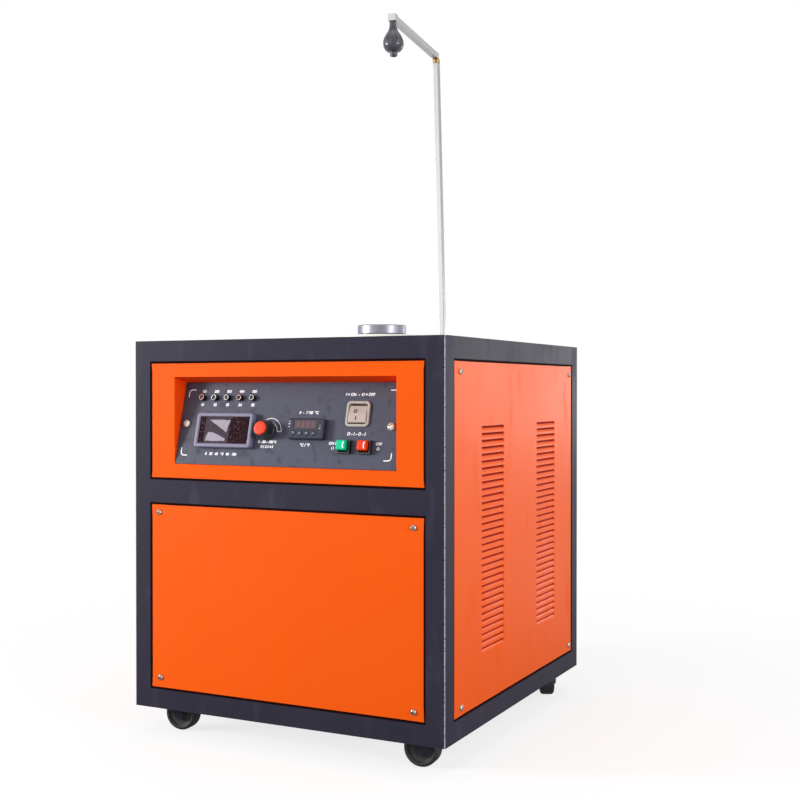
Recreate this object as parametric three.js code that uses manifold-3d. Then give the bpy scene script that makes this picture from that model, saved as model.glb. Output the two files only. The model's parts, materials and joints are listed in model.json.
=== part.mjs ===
// Electric gold melting furnace: a steel-framed induction furnace on casters.
// Millimetres, +Z up, +X to the right and -Y towards the person at the controls.
// The origin is on the floor, under the middle of the whole furnace.
import * as THREE from 'three';
import Module from 'manifold-3d';
import { mergeVertices } from 'three/addons/utils/BufferGeometryUtils.js';

const wasm = await Module();
wasm.setup();

// Welded frame of folded steel angle
const frameWidth = 505;
const frameDepth = 545;
const frameHeight = 540;
const barFace = 28;
const topBarFace = 30;
const midBarFace = 33.5;
const midBarDrop = 237;
const steel = 3;
const cornerRound = 2.5;
const tabReach = 24;
const tabLap = 6;

// Folded sheet panels
const sheet = 1.5;
const panelGap = 0.8;
const panelSet = 1;
const panelFlange = 12;
const panelCorner = 1.6;
const panelBevel = 0.7;
const flangeNotch = 2.5;

// Ventilation louvres of the side panels
const louvrePitch = 9.675;
const louvreLength = 87;
const louvreHood = 7;
const louvreReach = 3.3;
const louvreTaper = 1.5;
const louvreWall = 1;
const louvreFootShare = 0.75;
const louvreTopMargin = 91.5;
const louvreBottomMargin = 79;
const louvreColumnOffset = 110.5;
const louvreColumnShift = 6;

// Sloping console in the front
const mouthWidth = 362;
const mouthHeight = 126.7;
const mouthDrop = 179.8;
const consoleLeanDeg = 13.84;
const plate = 2;
const plateEdgeGap = 0.9;
const consoleLip = 20;

// Running and seating clearances
const seat = 0.3;
const running = 0.4;
const cutOverrun = 1;
const weldBite = 0.5;

// Panel instruments, placed from the left of the mouth and up the slope from its foot
const meterX = 84.7;
const meterUp = 49.5;
const meterWidth = 96;
const meterHeight = 49.5;
const meterProud = 9;
const meterCorner = 5;
const meterBevel = 2.4;
const meterWindowWidth = 83;
const meterWindowHeight = 39.5;
const meterWindowSunk = 2.2;
const meterGlass = 1.5;
const meterBodyWidth = 88;
const meterBodyHeight = 43;
const meterBodyDepth = 42;
const controllerX = 219.2;
const controllerUp = 54.2;
const controllerWidth = 56.5;
const controllerHeight = 29;
const controllerProud = 9;
const controllerCorner = 1.6;
const controllerBevel = 1.2;
const controllerBodyWidth = 45;
const controllerBodyHeight = 22.2;
const controllerBodyDepth = 72;
const displayWidth = 37;
const displayHeight = 12.3;
const displaySunk = 0.8;
const displayUp = 6;
const keyCount = 4;
const keyPitch = 10.9;
const keyDiameter = 7.4;
const keyUp = -6.6;
const keyShift = -2.8;
const keyProud = 0.8;
const keyDepth = 2;
const keyTravel = 0.5;
const keyDomeShare = 0.8;
const keyWell = 3;
const lampCount = 5;
const lampFirstX = 36;
const lampPitch = 21.7;
const lampUp = 98.4;
const lampBezelDiameter = 9.2;
const lampBarrelDiameter = 7.4;
const lampProud = 5;
const lampDepth = 16;
const lampLensDiameter = 6;
const lampLensSunk = 1;
const knobX = 151;
const knobUp = 52;
const knobSkirtDiameter = 29;
const knobSkirt = 3;
const knobDiameter = 26.5;
const knobNose = 24.8;
const knobProud = 17.2;
const knobFlutes = 12;
const knobFluteDepth = 0.9;
const knobShaft = 6;
const knobShaftDepth = 14;
const knobCapDiameter = 22.2;
const knobCapProud = 2.8;
const knobCapSunk = 1.5;
const rockerX = 295.7;
const rockerUp = 76.5;
const rockerWidth = 36;
const rockerHeight = 35;
const rockerCorner = 5;
const rockerProud = 3;
const rockerBevel = 1;
const rockerBodyWidth = 31.5;
const rockerBodyHeight = 30;
const rockerBodyDepth = 20;
const paddleWidth = 28.5;
const paddleHeight = 25.4;
const paddleTiltDeg = 7;
const paddleThickness = 5;
const paddleCrown = 1.2;
const paddleKeel = 6;
const trunnion = 3;
const trunnionReach = 0.7;
const buttonUp = 31;
const startX = 280.4;
const stopX = 312.2;
const buttonWidth = 14.8;
const buttonHeight = 15;
const buttonProud = 14;
const buttonCorner = 1.5;
const buttonBevel = 0.8;
const buttonTravel = 3;
const buttonSunk = 8;
const collarRim = 1.6;
const collarProud = 5.5;
const collarBodyDepth = 22;

// Refractory well in the top
const boardThickness = 10;
const boardInset = 1;
const wellX = 0;
const wellY = 37.5;
const sleeveDiameter = 84;
const sleeveFloor = 8;
const collarDiameter = 132;
const collarHeight = 19;
const collarBevel = 3;
const crucibleDiameter = 68;
const crucibleFootDiameter = 60;
const crucibleHeight = 118;
const crucibleWall = 8;
const crucibleFloor = 12;
const crucibleClear = 1;
const rimAboveFrame = 17.7;
const lidDiameter = 78.3;
const lidHeight = 14.3;
const lidBevel = 1.3;
const lidSpigot = 6;
const lidSpigotClear = 1;

// Water-cooled copper work coil and its generator
const coilTube = 8;
const coilTurns = 5;
const coilPitch = 14;
const coilClear = 2;
const coilTopDrop = 20;
const coilLeadReach = 44;
const coilBend = 14;
const coilStepsPerTurn = 16;
const coilSides = 6;
const trayInset = 15;
const trayLip = 8;
const moduleWidth = 210;
const moduleDepth = 170;
const finCount = 11;
const finHeight = 46;
const finThickness = 3;
const sinkBase = 10;
const boxHeight = 40;
const boxMargin = 12;
const drumDiameter = 52;
const drumHeight = 78;
const drumSpread = 62;
const terminalSize = 16;
const terminalTop = 235;

// Fan behind the rear grille
const fanSize = 92;
const fanDepth = 38;
const fanBore = 88;
const fanCorner = 5;
const fanHub = 34;
const fanHubDepth = 27;
const fanBlades = 7;
const fanBladeThickness = 1.6;
const fanBladePitchDeg = 38;
const fanTipGap = 2;
const fanBladeChordShare = 0.8;
const fanStrut = 7;
const fanStrutDepth = 5;
const fanPin = 6;
const fanFromEdge = 103.7;
const fanBelowEdge = 144.2;
const grilleSlots = 7;
const grilleSlotHeight = 6;
const grillePitch = 11.6;

// Rear connections
const glandFromEdge = 73.7;
const glandAboveEdge = 70.2;
const glandThread = 19.5;
const glandHex = 24;
const glandHexHeight = 6;
const glandDome = 20;
const glandDomeLength = 20;
const glandBore = 8.4;
const glandShoulderShare = 0.86;
const glandTipShare = 0.62;
const locknut = 26;
const locknutHeight = 5;
const nippleAboveEdge = 150.2;
const nippleSpread = 34;
const nippleFromEdge = 73.7;
const nippleThread = 13;
const nippleHex = 20;
const nippleHexHeight = 8;
const nippleBarb = 12.5;
const nippleNeck = 10.5;
const nippleBarbs = 3;
const nippleBarbPitch = 8;
const nippleBore = 7;

// Probe stand behind the cabinet
const postX = -1;
const postSize = 10;
const postWall = 1;
const postLeanDeg = 1.54;
const postAboveFrame = 514.5;
const socketOuter = 15;
const socketBelow = 50;
const socketAbove = 6;
const socketFloor = 3;
const socketClear = 0.35;
const bushDiameter = 12.8;
const bushHeight = 7;
const bushSpigot = 7.2;
const bushSpigotLength = 15;
const bushPin = 5.2;
const armLength = 238;
const armSize = 10;
const armSwingDeg = 7.7;
const armNose = 13;
const armPinDepth = 6;
const bulbDiameter = 33.8;
const bulbLength = 49.5;
const bulbFlutes = 10;
const bulbFluteShare = 0.055;
const bulbFluteStartShare = 0.2;
const bulbFluteSpanShare = 0.72;
const bulbSteps = 30;
const colletDiameter = 12;
const colletLength = 7;
const colletLobes = 4;
const colletSlit = 1.4;
const colletBore = 7;
const colletBoreDepth = 14;

// Swivel casters
const wheelDiameter = 50;
const wheelWidth = 22;
const wheelCrown = 3;
const wheelHubDiameter = 20;
const wheelHubGap = 1;
const wheelClear = 4.2;
const casterCrown = 3.5;
const casterRace = 5;
const casterPlate = 2.5;
const casterPlateLength = 62;
const casterPlateWidth = 60;
const casterRaceDiameter = 38;
const casterTrail = 13;
const casterInsetX = 40;
const casterInsetY = 46;
const forkSheet = 2.5;
const forkShoulder = 17;
const forkBoss = 8;
const axleDiameter = 6;
const kingpin = 8;
const kingpinHead = 14;
const kingpinHeadHeight = 2;

// Worked out from the sizes above
const degree = Math.PI / 180;
const lean = consoleLeanDeg * degree;
const slope = mouthHeight * Math.cos(lean);
const casterHeight = wheelDiameter + wheelClear + casterCrown + seat + casterRace + casterPlate;
const floorGap = casterHeight - (barFace - steel);
const halfWidth = frameWidth / 2;
const halfDepth = frameDepth / 2;
const midBarBottom = frameHeight - midBarDrop;
const mouthBottom = frameHeight - mouthDrop;
const windowBottom = barFace;
const windowTop = frameHeight - topBarFace;
const boardTop = frameHeight - steel;
const rimZ = frameHeight + rimAboveFrame;
const sleeveFloorTop = rimZ - crucibleHeight - seat;
const sleeveBore = crucibleDiameter + 2 * crucibleClear;

// Materials: colour, roughness, metalness
const looks = {
  blackPaint: [0x26262a, 0.45, 0],
  orangePaint: [0xff5a14, 0.42, 0],
  slatePaint: [0x4c4d5a, 0.5, 0],
  greyPlastic: [0x8a8794, 0.5, 0],
  blackPlastic: [0x18181b, 0.4, 0],
  redPlastic: [0xe8321c, 0.35, 0],
  greenPlastic: [0x0fae6c, 0.35, 0],
  beigePlastic: [0xd6cab2, 0.45, 0],
  darkGlass: [0x2a0c12, 0.08, 0],
  stainless: [0xc9c6c0, 0.3, 1],
  zinc: [0xa9abb0, 0.35, 1],
  brass: [0xc79a3c, 0.3, 1],
  copper: [0xb86b44, 0.3, 1],
  aluminium: [0xb4b6ba, 0.4, 1],
  graphite: [0x4a4a4f, 0.6, 0.2],
  lidSteel: [0x8d8b93, 0.35, 1],
  refractory: [0xf0eee8, 0.95, 0],
  galvanised: [0x9b9d9f, 0.5, 0.8],
  rubber: [0x1b1b1d, 0.75, 0],
};

function material(look) {
  const [color, roughness, metalness] = looks[look];
  return new THREE.MeshStandardMaterial({ color, roughness, metalness, flatShading: true });
}

// A closed three.js geometry as a solid that can be cut and joined
function solid(geometry) {
  const bare = geometry.clone();
  bare.deleteAttribute('normal');
  bare.deleteAttribute('uv');
  const merged = mergeVertices(bare);
  const corners = Array.from(merged.index.array);
  const kept = [];
  for (let i = 0; i < corners.length; i += 3) {
    const [a, b, c] = corners.slice(i, i + 3);
    if (a !== b && b !== c && c !== a) kept.push(a, b, c);
  }
  const vertProperties = new Float32Array(merged.attributes.position.array);
  const triVerts = new Uint32Array(kept);
  return new wasm.Manifold(new wasm.Mesh({ numProp: 3, vertProperties, triVerts }));
}

function join(...solids) {
  return solids.flat().reduce((whole, next) => whole.add(next));
}

function cut(body, ...tools) {
  return tools.flat().reduce((rest, tool) => rest.subtract(tool), body);
}

function piece(name, body, look, parent) {
  const { vertProperties, triVerts } = body.getMesh();
  const geometry = new THREE.BufferGeometry();
  geometry.setAttribute('position', new THREE.BufferAttribute(vertProperties, 3));
  geometry.setIndex(new THREE.BufferAttribute(triVerts, 1));
  geometry.computeVertexNormals();
  const mesh = new THREE.Mesh(geometry, material(look));
  mesh.name = name;
  parent.add(mesh);
  return mesh;
}

function place(parent, x, y, z) {
  const group = new THREE.Group();
  group.position.set(x, y, z);
  parent.add(group);
  return group;
}

// A box between two corners, given in either order
function block(x0, x1, y0, y1, z0, z1) {
  const size = [Math.abs(x1 - x0), Math.abs(y1 - y0), Math.abs(z1 - z0)];
  const box = new THREE.BoxGeometry(...size);
  box.translate((x0 + x1) / 2, (y0 + y1) / 2, (z0 + z1) / 2);
  return solid(box);
}

// A rounded rectangle as a ring of points, counterclockwise about its middle
function roundedRing(width, height, radius, steps = 3) {
  const ring = [];
  const insetX = width / 2 - radius;
  const insetY = height / 2 - radius;
  const signs = [[1, 1], [-1, 1], [-1, -1], [1, -1]];
  signs.forEach(([signX, signY], corner) => {
    for (let step = 0; step <= steps; step += 1) {
      const angle = (corner + step / steps) * Math.PI / 2;
      const x = signX * insetX + radius * Math.cos(angle);
      const y = signY * insetY + radius * Math.sin(angle);
      ring.push([x, y]);
    }
  });
  return ring;
}

function circleRing(radius, steps) {
  const angles = Array.from({ length: steps }, (_, step) => step / steps * 2 * Math.PI);
  return angles.map((angle) => [radius * Math.cos(angle), radius * Math.sin(angle)]);
}

// A closed body through rings of equal count: sections are [ring, height], lowest first
function loft(sections) {
  const count = sections[0][0].length;
  const positions = sections.flatMap(([ring, z]) => ring.flatMap(([x, y]) => [x, y, z]));
  const index = [];
  for (let s = 0; s + 1 < sections.length; s += 1) {
    for (let i = 0; i < count; i += 1) {
      const a = s * count + i;
      const b = s * count + (i + 1) % count;
      index.push(a, b, b + count, a, b + count, a + count);
    }
  }
  const last = (sections.length - 1) * count;
  for (let i = 1; i + 1 < count; i += 1) {
    index.push(0, i + 1, i);
    index.push(last, last + i, last + i + 1);
  }
  const geometry = new THREE.BufferGeometry();
  geometry.setAttribute('position', new THREE.Float32BufferAttribute(positions, 3));
  geometry.setIndex(index);
  return solid(geometry);
}

function prism(ring, z0, z1) {
  return loft([[ring, z0], [ring, z1]]);
}

function shifted(ring, dx, dy) {
  return ring.map(([x, y]) => [x + dx, y + dy]);
}

// A turned body about Z from [radius, height] points: up the outside, down the inside
function turned(profile, steps = 32) {
  const points = profile.map(([radius, z]) => new THREE.Vector2(radius, z));
  const geometry = new THREE.LatheGeometry(points, steps);
  geometry.rotateX(Math.PI / 2);
  return solid(geometry);
}

function rod(radius, z0, z1, steps = 24) {
  return prism(circleRing(radius, steps), z0, z1);
}

// The same body moved or turned by a three.js matrix
function moved(body, x, y, z, turnX = 0, turnY = 0, turnZ = 0) {
  const { vertProperties, triVerts } = body.getMesh();
  const geometry = new THREE.BufferGeometry();
  geometry.setAttribute('position', new THREE.BufferAttribute(new Float32Array(vertProperties), 3));
  geometry.setIndex(Array.from(triVerts));
  const turn = new THREE.Quaternion().setFromEuler(new THREE.Euler(turnX, turnY, turnZ));
  const size = new THREE.Vector3(1, 1, 1);
  geometry.applyMatrix4(new THREE.Matrix4().compose(new THREE.Vector3(x, y, z), turn, size));
  return solid(geometry);
}

const furnace = new THREE.Group();
const cabinet = place(furnace, 0, 0, floorGap);

// Each wall has a frame of its own: x to the right as one faces it, and -y out of the wall
function wall(turn, distance) {
  const side = new THREE.Group();
  side.rotation.z = turn;
  cabinet.add(side);
  return place(side, 0, -distance, 0);
}
const frontWall = wall(0, halfDepth);
const rightWall = wall(Math.PI / 2, halfWidth);
const rearWall = wall(Math.PI, halfDepth);
const leftWall = wall(-Math.PI / 2, halfWidth);

// Frame: two welded end frames, butted by four side rails
function screwTab(x0, x1, z0, z1) {
  const tabFront = panelSet + sheet;
  return block(x0, x1, tabFront, tabFront + steel, z0, z1);
}

function endFrameTabs(bottom, top) {
  const edge = halfWidth - barFace;
  return [-1, 1].flatMap((side) => [
    screwTab(side * (edge + tabLap), side * (edge - tabReach), bottom - tabLap, bottom + tabReach),
    screwTab(side * (edge + tabLap), side * (edge - tabReach), top - tabReach, top + tabLap),
  ]);
}

// The side panels screw to tabs on the posts' side legs
function sidePanelTabs() {
  const outer = halfWidth - panelSet - sheet;
  const near = barFace - tabLap;
  const far = barFace + tabReach;
  return [-1, 1].flatMap((side) => [
    block(side * outer, side * (outer - steel), near, far, windowBottom + weldBite, windowBottom + tabReach),
    block(side * outer, side * (outer - steel), near, far, windowTop - tabReach, windowTop - weldBite),
  ]);
}

function endFrame(hasMidBar) {
  const bars = [];
  for (const side of [-1, 1]) {
    const outer = side * halfWidth;
    bars.push(block(outer, side * (halfWidth - barFace), 0, steel, 0, frameHeight));
    bars.push(block(outer, side * (halfWidth - steel), 0, barFace, 0, frameHeight));
  }
  bars.push(block(-halfWidth, halfWidth, 0, steel, windowTop, frameHeight));
  bars.push(block(-halfWidth, halfWidth, 0, barFace, frameHeight - steel, frameHeight));
  bars.push(block(-halfWidth, halfWidth, 0, steel, 0, windowBottom));
  bars.push(block(-halfWidth, halfWidth, 0, barFace, barFace - steel, barFace));
  if (hasMidBar) {
    bars.push(block(-halfWidth, halfWidth, 0, steel, midBarBottom, midBarBottom + midBarFace));
    bars.push(block(-halfWidth, halfWidth, 0, barFace, midBarBottom, midBarBottom + steel));
    bars.push(...endFrameTabs(windowBottom, midBarBottom));
    bars.push(...endFrameTabs(midBarBottom + midBarFace, windowTop));
  } else {
    bars.push(...endFrameTabs(windowBottom, windowTop));
  }
  const envelope = shifted(roundedRing(frameWidth, frameDepth, cornerRound), 0, halfDepth);
  const bent = join(bars).intersect(prism(envelope, 0, frameHeight));
  return join(bent, sidePanelTabs());
}

// The socket that holds the post stands on the outside of the rear frame's top bar
const socketY = weldBite - socketOuter / 2;
const postLean = postLeanDeg * degree;
function postSocket() {
  const outer = prism(roundedRing(socketOuter, socketOuter, cornerRound / 2, 2), -socketBelow, socketAbove);
  const bore = postSize + 2 * socketClear;
  const boreBottom = socketFloor - socketBelow;
  const hole = block(-bore / 2, bore / 2, -bore / 2, bore / 2, boreBottom, socketAbove + cutOverrun);
  return moved(cut(outer, hole), -postX, socketY, frameHeight, 0, postLean, 0);
}

piece('front_frame', endFrame(true), 'blackPaint', frontWall);
piece('rear_frame', join(endFrame(false), postSocket()), 'blackPaint', rearWall);

function sideRail(top, face, legZ) {
  const near = barFace;
  const far = frameDepth - barFace;
  const upright = block(near - halfDepth, far - halfDepth, 0, steel, top - face, top);
  const leg = block(near - halfDepth, far - halfDepth, 0, barFace, legZ, legZ + steel);
  return join(upright, leg);
}
for (const [side, sideWall] of [['left', leftWall], ['right', rightWall]]) {
  piece(`top_rail_${side}`, sideRail(frameHeight, topBarFace, frameHeight - steel), 'blackPaint', sideWall);
  piece(`bottom_rail_${side}`, sideRail(barFace, barFace, barFace - steel), 'blackPaint', sideWall);
}

// Floor tray, folded up at its edges, lying on the legs of the bottom bars
function floorTray() {
  const x = halfWidth - trayInset;
  const y = halfDepth - trayInset;
  const outer = block(-x, x, -y, y, barFace, barFace + trayLip);
  const floor = barFace + sheet;
  const rim = barFace + trayLip + cutOverrun;
  const inner = block(sheet - x, x - sheet, sheet - y, y - sheet, floor, rim);
  return cut(outer, inner);
}
piece('base_tray', floorTray(), 'galvanised', cabinet);

// A sheet panel folded back on four sides, notched at the corners for the screw tabs.
// Drawn flat: x across, y up, z out of the wall, with the outer face at zero.
function foldedPanel(width, height) {
  const outline = roundedRing(width, height, panelCorner, 2);
  const front = roundedRing(width - 2 * panelBevel, height - 2 * panelBevel, panelCorner - panelBevel, 2);
  const skin = loft([[outline, -sheet], [outline, -panelBevel], [front, 0]]);
  const notch = tabReach + flangeNotch;
  const flangeTop = -sheet / 2;
  const folds = [-1, 1].flatMap((side) => {
    const x = side * width / 2;
    const y = side * height / 2;
    return [
      block(notch - width / 2, width / 2 - notch, y, y - side * sheet, -panelFlange, flangeTop),
      block(x, x - side * sheet, notch - height / 2, height / 2 - notch, -panelFlange, flangeTop),
    ];
  });
  return join(skin, folds);
}

function hang(name, body, look, wallGroup, z) {
  const mesh = piece(name, body, look, wallGroup);
  mesh.rotation.x = Math.PI / 2;
  mesh.position.set(0, panelSet, z);
  return mesh;
}

const openWidth = frameWidth - 2 * barFace;
const openDepth = frameDepth - 2 * barFace;
const openHeight = windowTop - windowBottom;
const windowMiddle = (windowTop + windowBottom) / 2;
const endPanelWidth = openWidth - 2 * panelGap;
const sidePanelWidth = openDepth - 2 * panelGap;
const tallPanelHeight = openHeight - 2 * panelGap;

const lowerHeight = midBarBottom - windowBottom - 2 * panelGap;
const lowerMiddle = (midBarBottom + windowBottom) / 2;
hang('lower_front_panel', foldedPanel(endPanelWidth, lowerHeight), 'orangePaint', frontWall, lowerMiddle);

// One louvre: the sheet is lanced along a line, and the flap below it is pressed inwards,
// so that air passes up behind the sheet. Its depth falls to nothing at its lower end.
function flapRing(length, depth, front) {
  const half = length / 2;
  return [[louvreTaper - half, -depth], [half - louvreTaper, -depth], [half, front], [-half, front]];
}

// Lofted downwards along y, so rings are drawn in x and z and turned afterwards
function louvreFlap(x, y) {
  const back = sheet + louvreReach;
  const flap = loft([
    [flapRing(louvreLength, back, -sheet / 2), 0],
    [flapRing(louvreLength, sheet * louvreFootShare, -sheet / 2), louvreHood],
  ]);
  return moved(flap, x, y, 0, Math.PI / 2, 0, 0);
}

function louvreHollow(x, y) {
  const length = louvreLength - 2 * louvreWall;
  const deep = sheet + louvreReach - louvreWall;
  const hollow = loft([
    [flapRing(length, deep, cutOverrun), 0],
    [flapRing(length, -cutOverrun / 2, cutOverrun), louvreHood],
  ]);
  return moved(hollow, x, y, 0, Math.PI / 2, 0, 0);
}

function louvredPanel(mirrored) {
  const columns = [louvreColumnShift - louvreColumnOffset, louvreColumnShift + louvreColumnOffset];
  const bank = tallPanelHeight - louvreTopMargin - louvreBottomMargin;
  const louvreRows = Math.floor(bank / louvrePitch) + 1;
  const flaps = [];
  const hollows = [];
  for (const column of columns) {
    for (let row = 0; row < louvreRows; row += 1) {
      const x = mirrored ? -column : column;
      const y = tallPanelHeight / 2 - louvreTopMargin - row * louvrePitch;
      flaps.push(louvreFlap(x, y));
      hollows.push(louvreHollow(x, y));
    }
  }
  const pressed = wasm.Manifold.union([foldedPanel(sidePanelWidth, tallPanelHeight), ...flaps]);
  return wasm.Manifold.difference([pressed, ...hollows]);
}
hang('side_panel_right', louvredPanel(false), 'orangePaint', rightWall, windowMiddle);
hang('side_panel_left', louvredPanel(true), 'orangePaint', leftWall, windowMiddle);

// Rear panel with a slotted fan grille, two hose nipples and a cable gland
function stadium(width, height, x, y) {
  return shifted(roundedRing(width, height, height / 2, 1), x, y);
}

const glandX = endPanelWidth / 2 - glandFromEdge;
const glandUp = glandAboveEdge - tallPanelHeight / 2;
const nippleX = endPanelWidth / 2 - nippleFromEdge;
const nippleUp = nippleAboveEdge - tallPanelHeight / 2;
const fanX = fanFromEdge - endPanelWidth / 2;
const fanUp = tallPanelHeight / 2 - fanBelowEdge;
function rearPanelBody() {
  const tools = [];
  for (let slot = 0; slot < grilleSlots; slot += 1) {
    const rise = (slot - (grilleSlots - 1) / 2) * grillePitch;
    const half = Math.sqrt((fanBore / 2) ** 2 - rise ** 2) - grilleSlotHeight / 2;
    const ring = stadium(2 * half, grilleSlotHeight, fanX, fanUp + rise);
    tools.push(prism(ring, -sheet - cutOverrun, cutOverrun));
  }
  const holes = [[glandX, glandUp, glandThread]];
  for (const side of [-1, 1]) {
    holes.push([nippleX + side * nippleSpread / 2, nippleUp, nippleThread]);
  }
  for (const [x, y, diameter] of holes) {
    const ring = shifted(circleRing(diameter / 2 + running, 12), x, y);
    tools.push(prism(ring, -sheet - cutOverrun, cutOverrun));
  }
  return cut(foldedPanel(endPanelWidth, tallPanelHeight), tools);
}
hang('rear_panel', rearPanelBody(), 'orangePaint', rearWall, windowMiddle);

// A place on the rear panel: z out of the panel, from its outer face
function rearPlace(x, up) {
  const group = place(rearWall, x, panelSet, windowMiddle + up);
  group.rotation.x = Math.PI / 2;
  return group;
}

function cableGland() {
  const r = glandThread / 2;
  const inner = -sheet - seat - locknutHeight;
  const domeStart = seat + glandHexHeight;
  const tip = domeStart + glandDomeLength;
  const waist = glandDome / 2;
  const body = turned([[0, inner], [r, inner], [r, seat], [waist, seat], [waist, tip - waist / 2],
    [waist * glandShoulderShare, tip - waist / 5], [waist * glandTipShare, tip], [0, tip]], 16);
  const hex = rod(glandHex / 2, seat, domeStart, 6);
  const nut = rod(locknut / 2, inner, -sheet - seat, 6);
  return cut(join(body, hex, nut), rod(glandBore / 2, inner - cutOverrun, tip + cutOverrun, 12));
}
piece('cable_gland', cableGland(), 'blackPlastic', rearPlace(glandX, glandUp));

function hoseNipple() {
  const r = nippleThread / 2;
  const inner = -sheet - seat - locknutHeight;
  const start = seat + nippleHexHeight;
  const profile = [[0, inner], [r, inner], [r, start]];
  for (let barb = 0; barb < nippleBarbs; barb += 1) {
    const base = start + barb * nippleBarbPitch;
    profile.push([nippleNeck / 2, base], [nippleBarb / 2, base + nippleBarbPitch / 3]);
    profile.push([nippleNeck / 2, base + nippleBarbPitch - weldBite]);
  }
  const tip = start + nippleBarbs * nippleBarbPitch;
  profile.push([nippleNeck / 2, tip], [0, tip]);
  const hex = rod(nippleHex / 2, seat, start, 6);
  const nut = rod(nippleHex / 2, inner, -sheet - seat, 6);
  const bore = rod(nippleBore / 2, inner - cutOverrun, tip + cutOverrun, 10);
  return cut(join(turned(profile, 12), hex, nut), bore);
}
piece('water_inlet', hoseNipple(), 'brass', rearPlace(nippleX - nippleSpread / 2, nippleUp));
piece('water_outlet', hoseNipple(), 'brass', rearPlace(nippleX + nippleSpread / 2, nippleUp));

// Fan: a square shell bolted behind the grille, and its rotor on a pin
const fanPlace = rearPlace(fanX, fanUp);
const fanFront = -sheet;
const fanBack = fanFront - fanDepth;
const rotorFront = fanFront - (fanDepth - fanStrutDepth - fanHubDepth) / 2;
const rotorBack = rotorFront - fanHubDepth;
function fanHousing() {
  const shell = prism(roundedRing(fanSize, fanSize, fanCorner, 2), fanBack, fanFront);
  const bore = rod(fanBore / 2, fanBack - cutOverrun, fanFront + cutOverrun, 24);
  const strutTop = fanBack + fanStrutDepth;
  const reach = fanBore / 2 + weldBite;
  const struts = [
    block(-reach, reach, -fanStrut / 2, fanStrut / 2, fanBack, strutTop),
    block(-fanStrut / 2, fanStrut / 2, -reach, reach, fanBack, strutTop),
  ];
  const seatDisc = rod(fanHub / 2, fanBack, strutTop, 16);
  const pin = rod(fanPin / 2, strutTop - weldBite, rotorFront - fanHubDepth / 3, 12);
  return join(cut(shell, bore), struts, seatDisc, pin);
}

function fanRotor() {
  const hub = rod(fanHub / 2, rotorBack, rotorFront, 16);
  const boreTop = rotorFront - fanHubDepth / 3 + seat;
  const bore = rod(fanPin / 2 + seat, rotorBack - cutOverrun, boreTop, 12);
  const bladeLength = fanBore / 2 - fanTipGap - fanHub / 2 + weldBite;
  const chord = fanHubDepth / Math.cos(fanBladePitchDeg * degree) * fanBladeChordShare;
  const middle = (rotorFront + rotorBack) / 2;
  const blades = [];
  for (let blade = 0; blade < fanBlades; blade += 1) {
    const radius = fanHub / 2 - weldBite;
    const flat = block(radius, radius + bladeLength, -fanBladeThickness / 2, fanBladeThickness / 2,
      -chord / 2, chord / 2);
    const pitched = moved(flat, 0, 0, middle, fanBladePitchDeg * degree, 0, 0);
    blades.push(moved(pitched, 0, 0, 0, 0, 0, blade / fanBlades * 2 * Math.PI));
  }
  return cut(join(hub, blades), bore);
}
piece('fan_housing', fanHousing(), 'blackPlastic', fanPlace);
piece('fan_rotor', fanRotor(), 'blackPlastic', fanPlace);

// Console: the fascia is folded back round its mouth as a sloping box, with lips behind
// the instrument plate. Drawn in the frame of the slope: y up it, z out of it.
const consoleFoot = place(frontWall, 0, panelSet, mouthBottom);
consoleFoot.rotation.x = Math.PI / 2 - lean;

const fasciaHeight = windowTop - midBarBottom - midBarFace - 2 * panelGap;
const fasciaMiddle = (windowTop + midBarBottom + midBarFace) / 2;
function consoleFascia() {
  const flat = foldedPanel(endPanelWidth, fasciaHeight);
  const drop = mouthBottom - fasciaMiddle;
  const half = mouthWidth / 2;
  const backZ = -plate - seat;
  const reach = mouthHeight;
  const outer = block(-half - sheet, half + sheet, -sheet, slope + sheet, backZ - sheet, reach);
  const inner = block(-half, half, 0, slope, backZ, reach + cutOverrun);
  const sight = block(consoleLip - half, half - consoleLip, consoleLip / 2, slope - consoleLip / 2,
    backZ - sheet - cutOverrun, reach);
  const turn = -lean;
  const tilt = (body) => moved(body, 0, drop, 0, turn, 0, 0);
  const behind = block(-halfWidth, halfWidth, -frameHeight, frameHeight, -frameDepth, 0);
  const shell = tilt(outer).intersect(behind);
  return cut(join(flat, shell), tilt(inner), tilt(sight));
}
hang('console_fascia', consoleFascia(), 'orangePaint', frontWall, fasciaMiddle);

// Holes in the instrument plate, from the sizes of what passes through them
function plateHole(x, up, width, height) {
  const left = x - mouthWidth / 2;
  return block(left - width / 2, left + width / 2, up - height / 2, up + height / 2,
    -plate - cutOverrun, cutOverrun);
}

function plateBore(x, up, diameter) {
  const ring = shifted(circleRing(diameter / 2, 12), x - mouthWidth / 2, up);
  return prism(ring, -plate - cutOverrun, cutOverrun);
}

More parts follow.
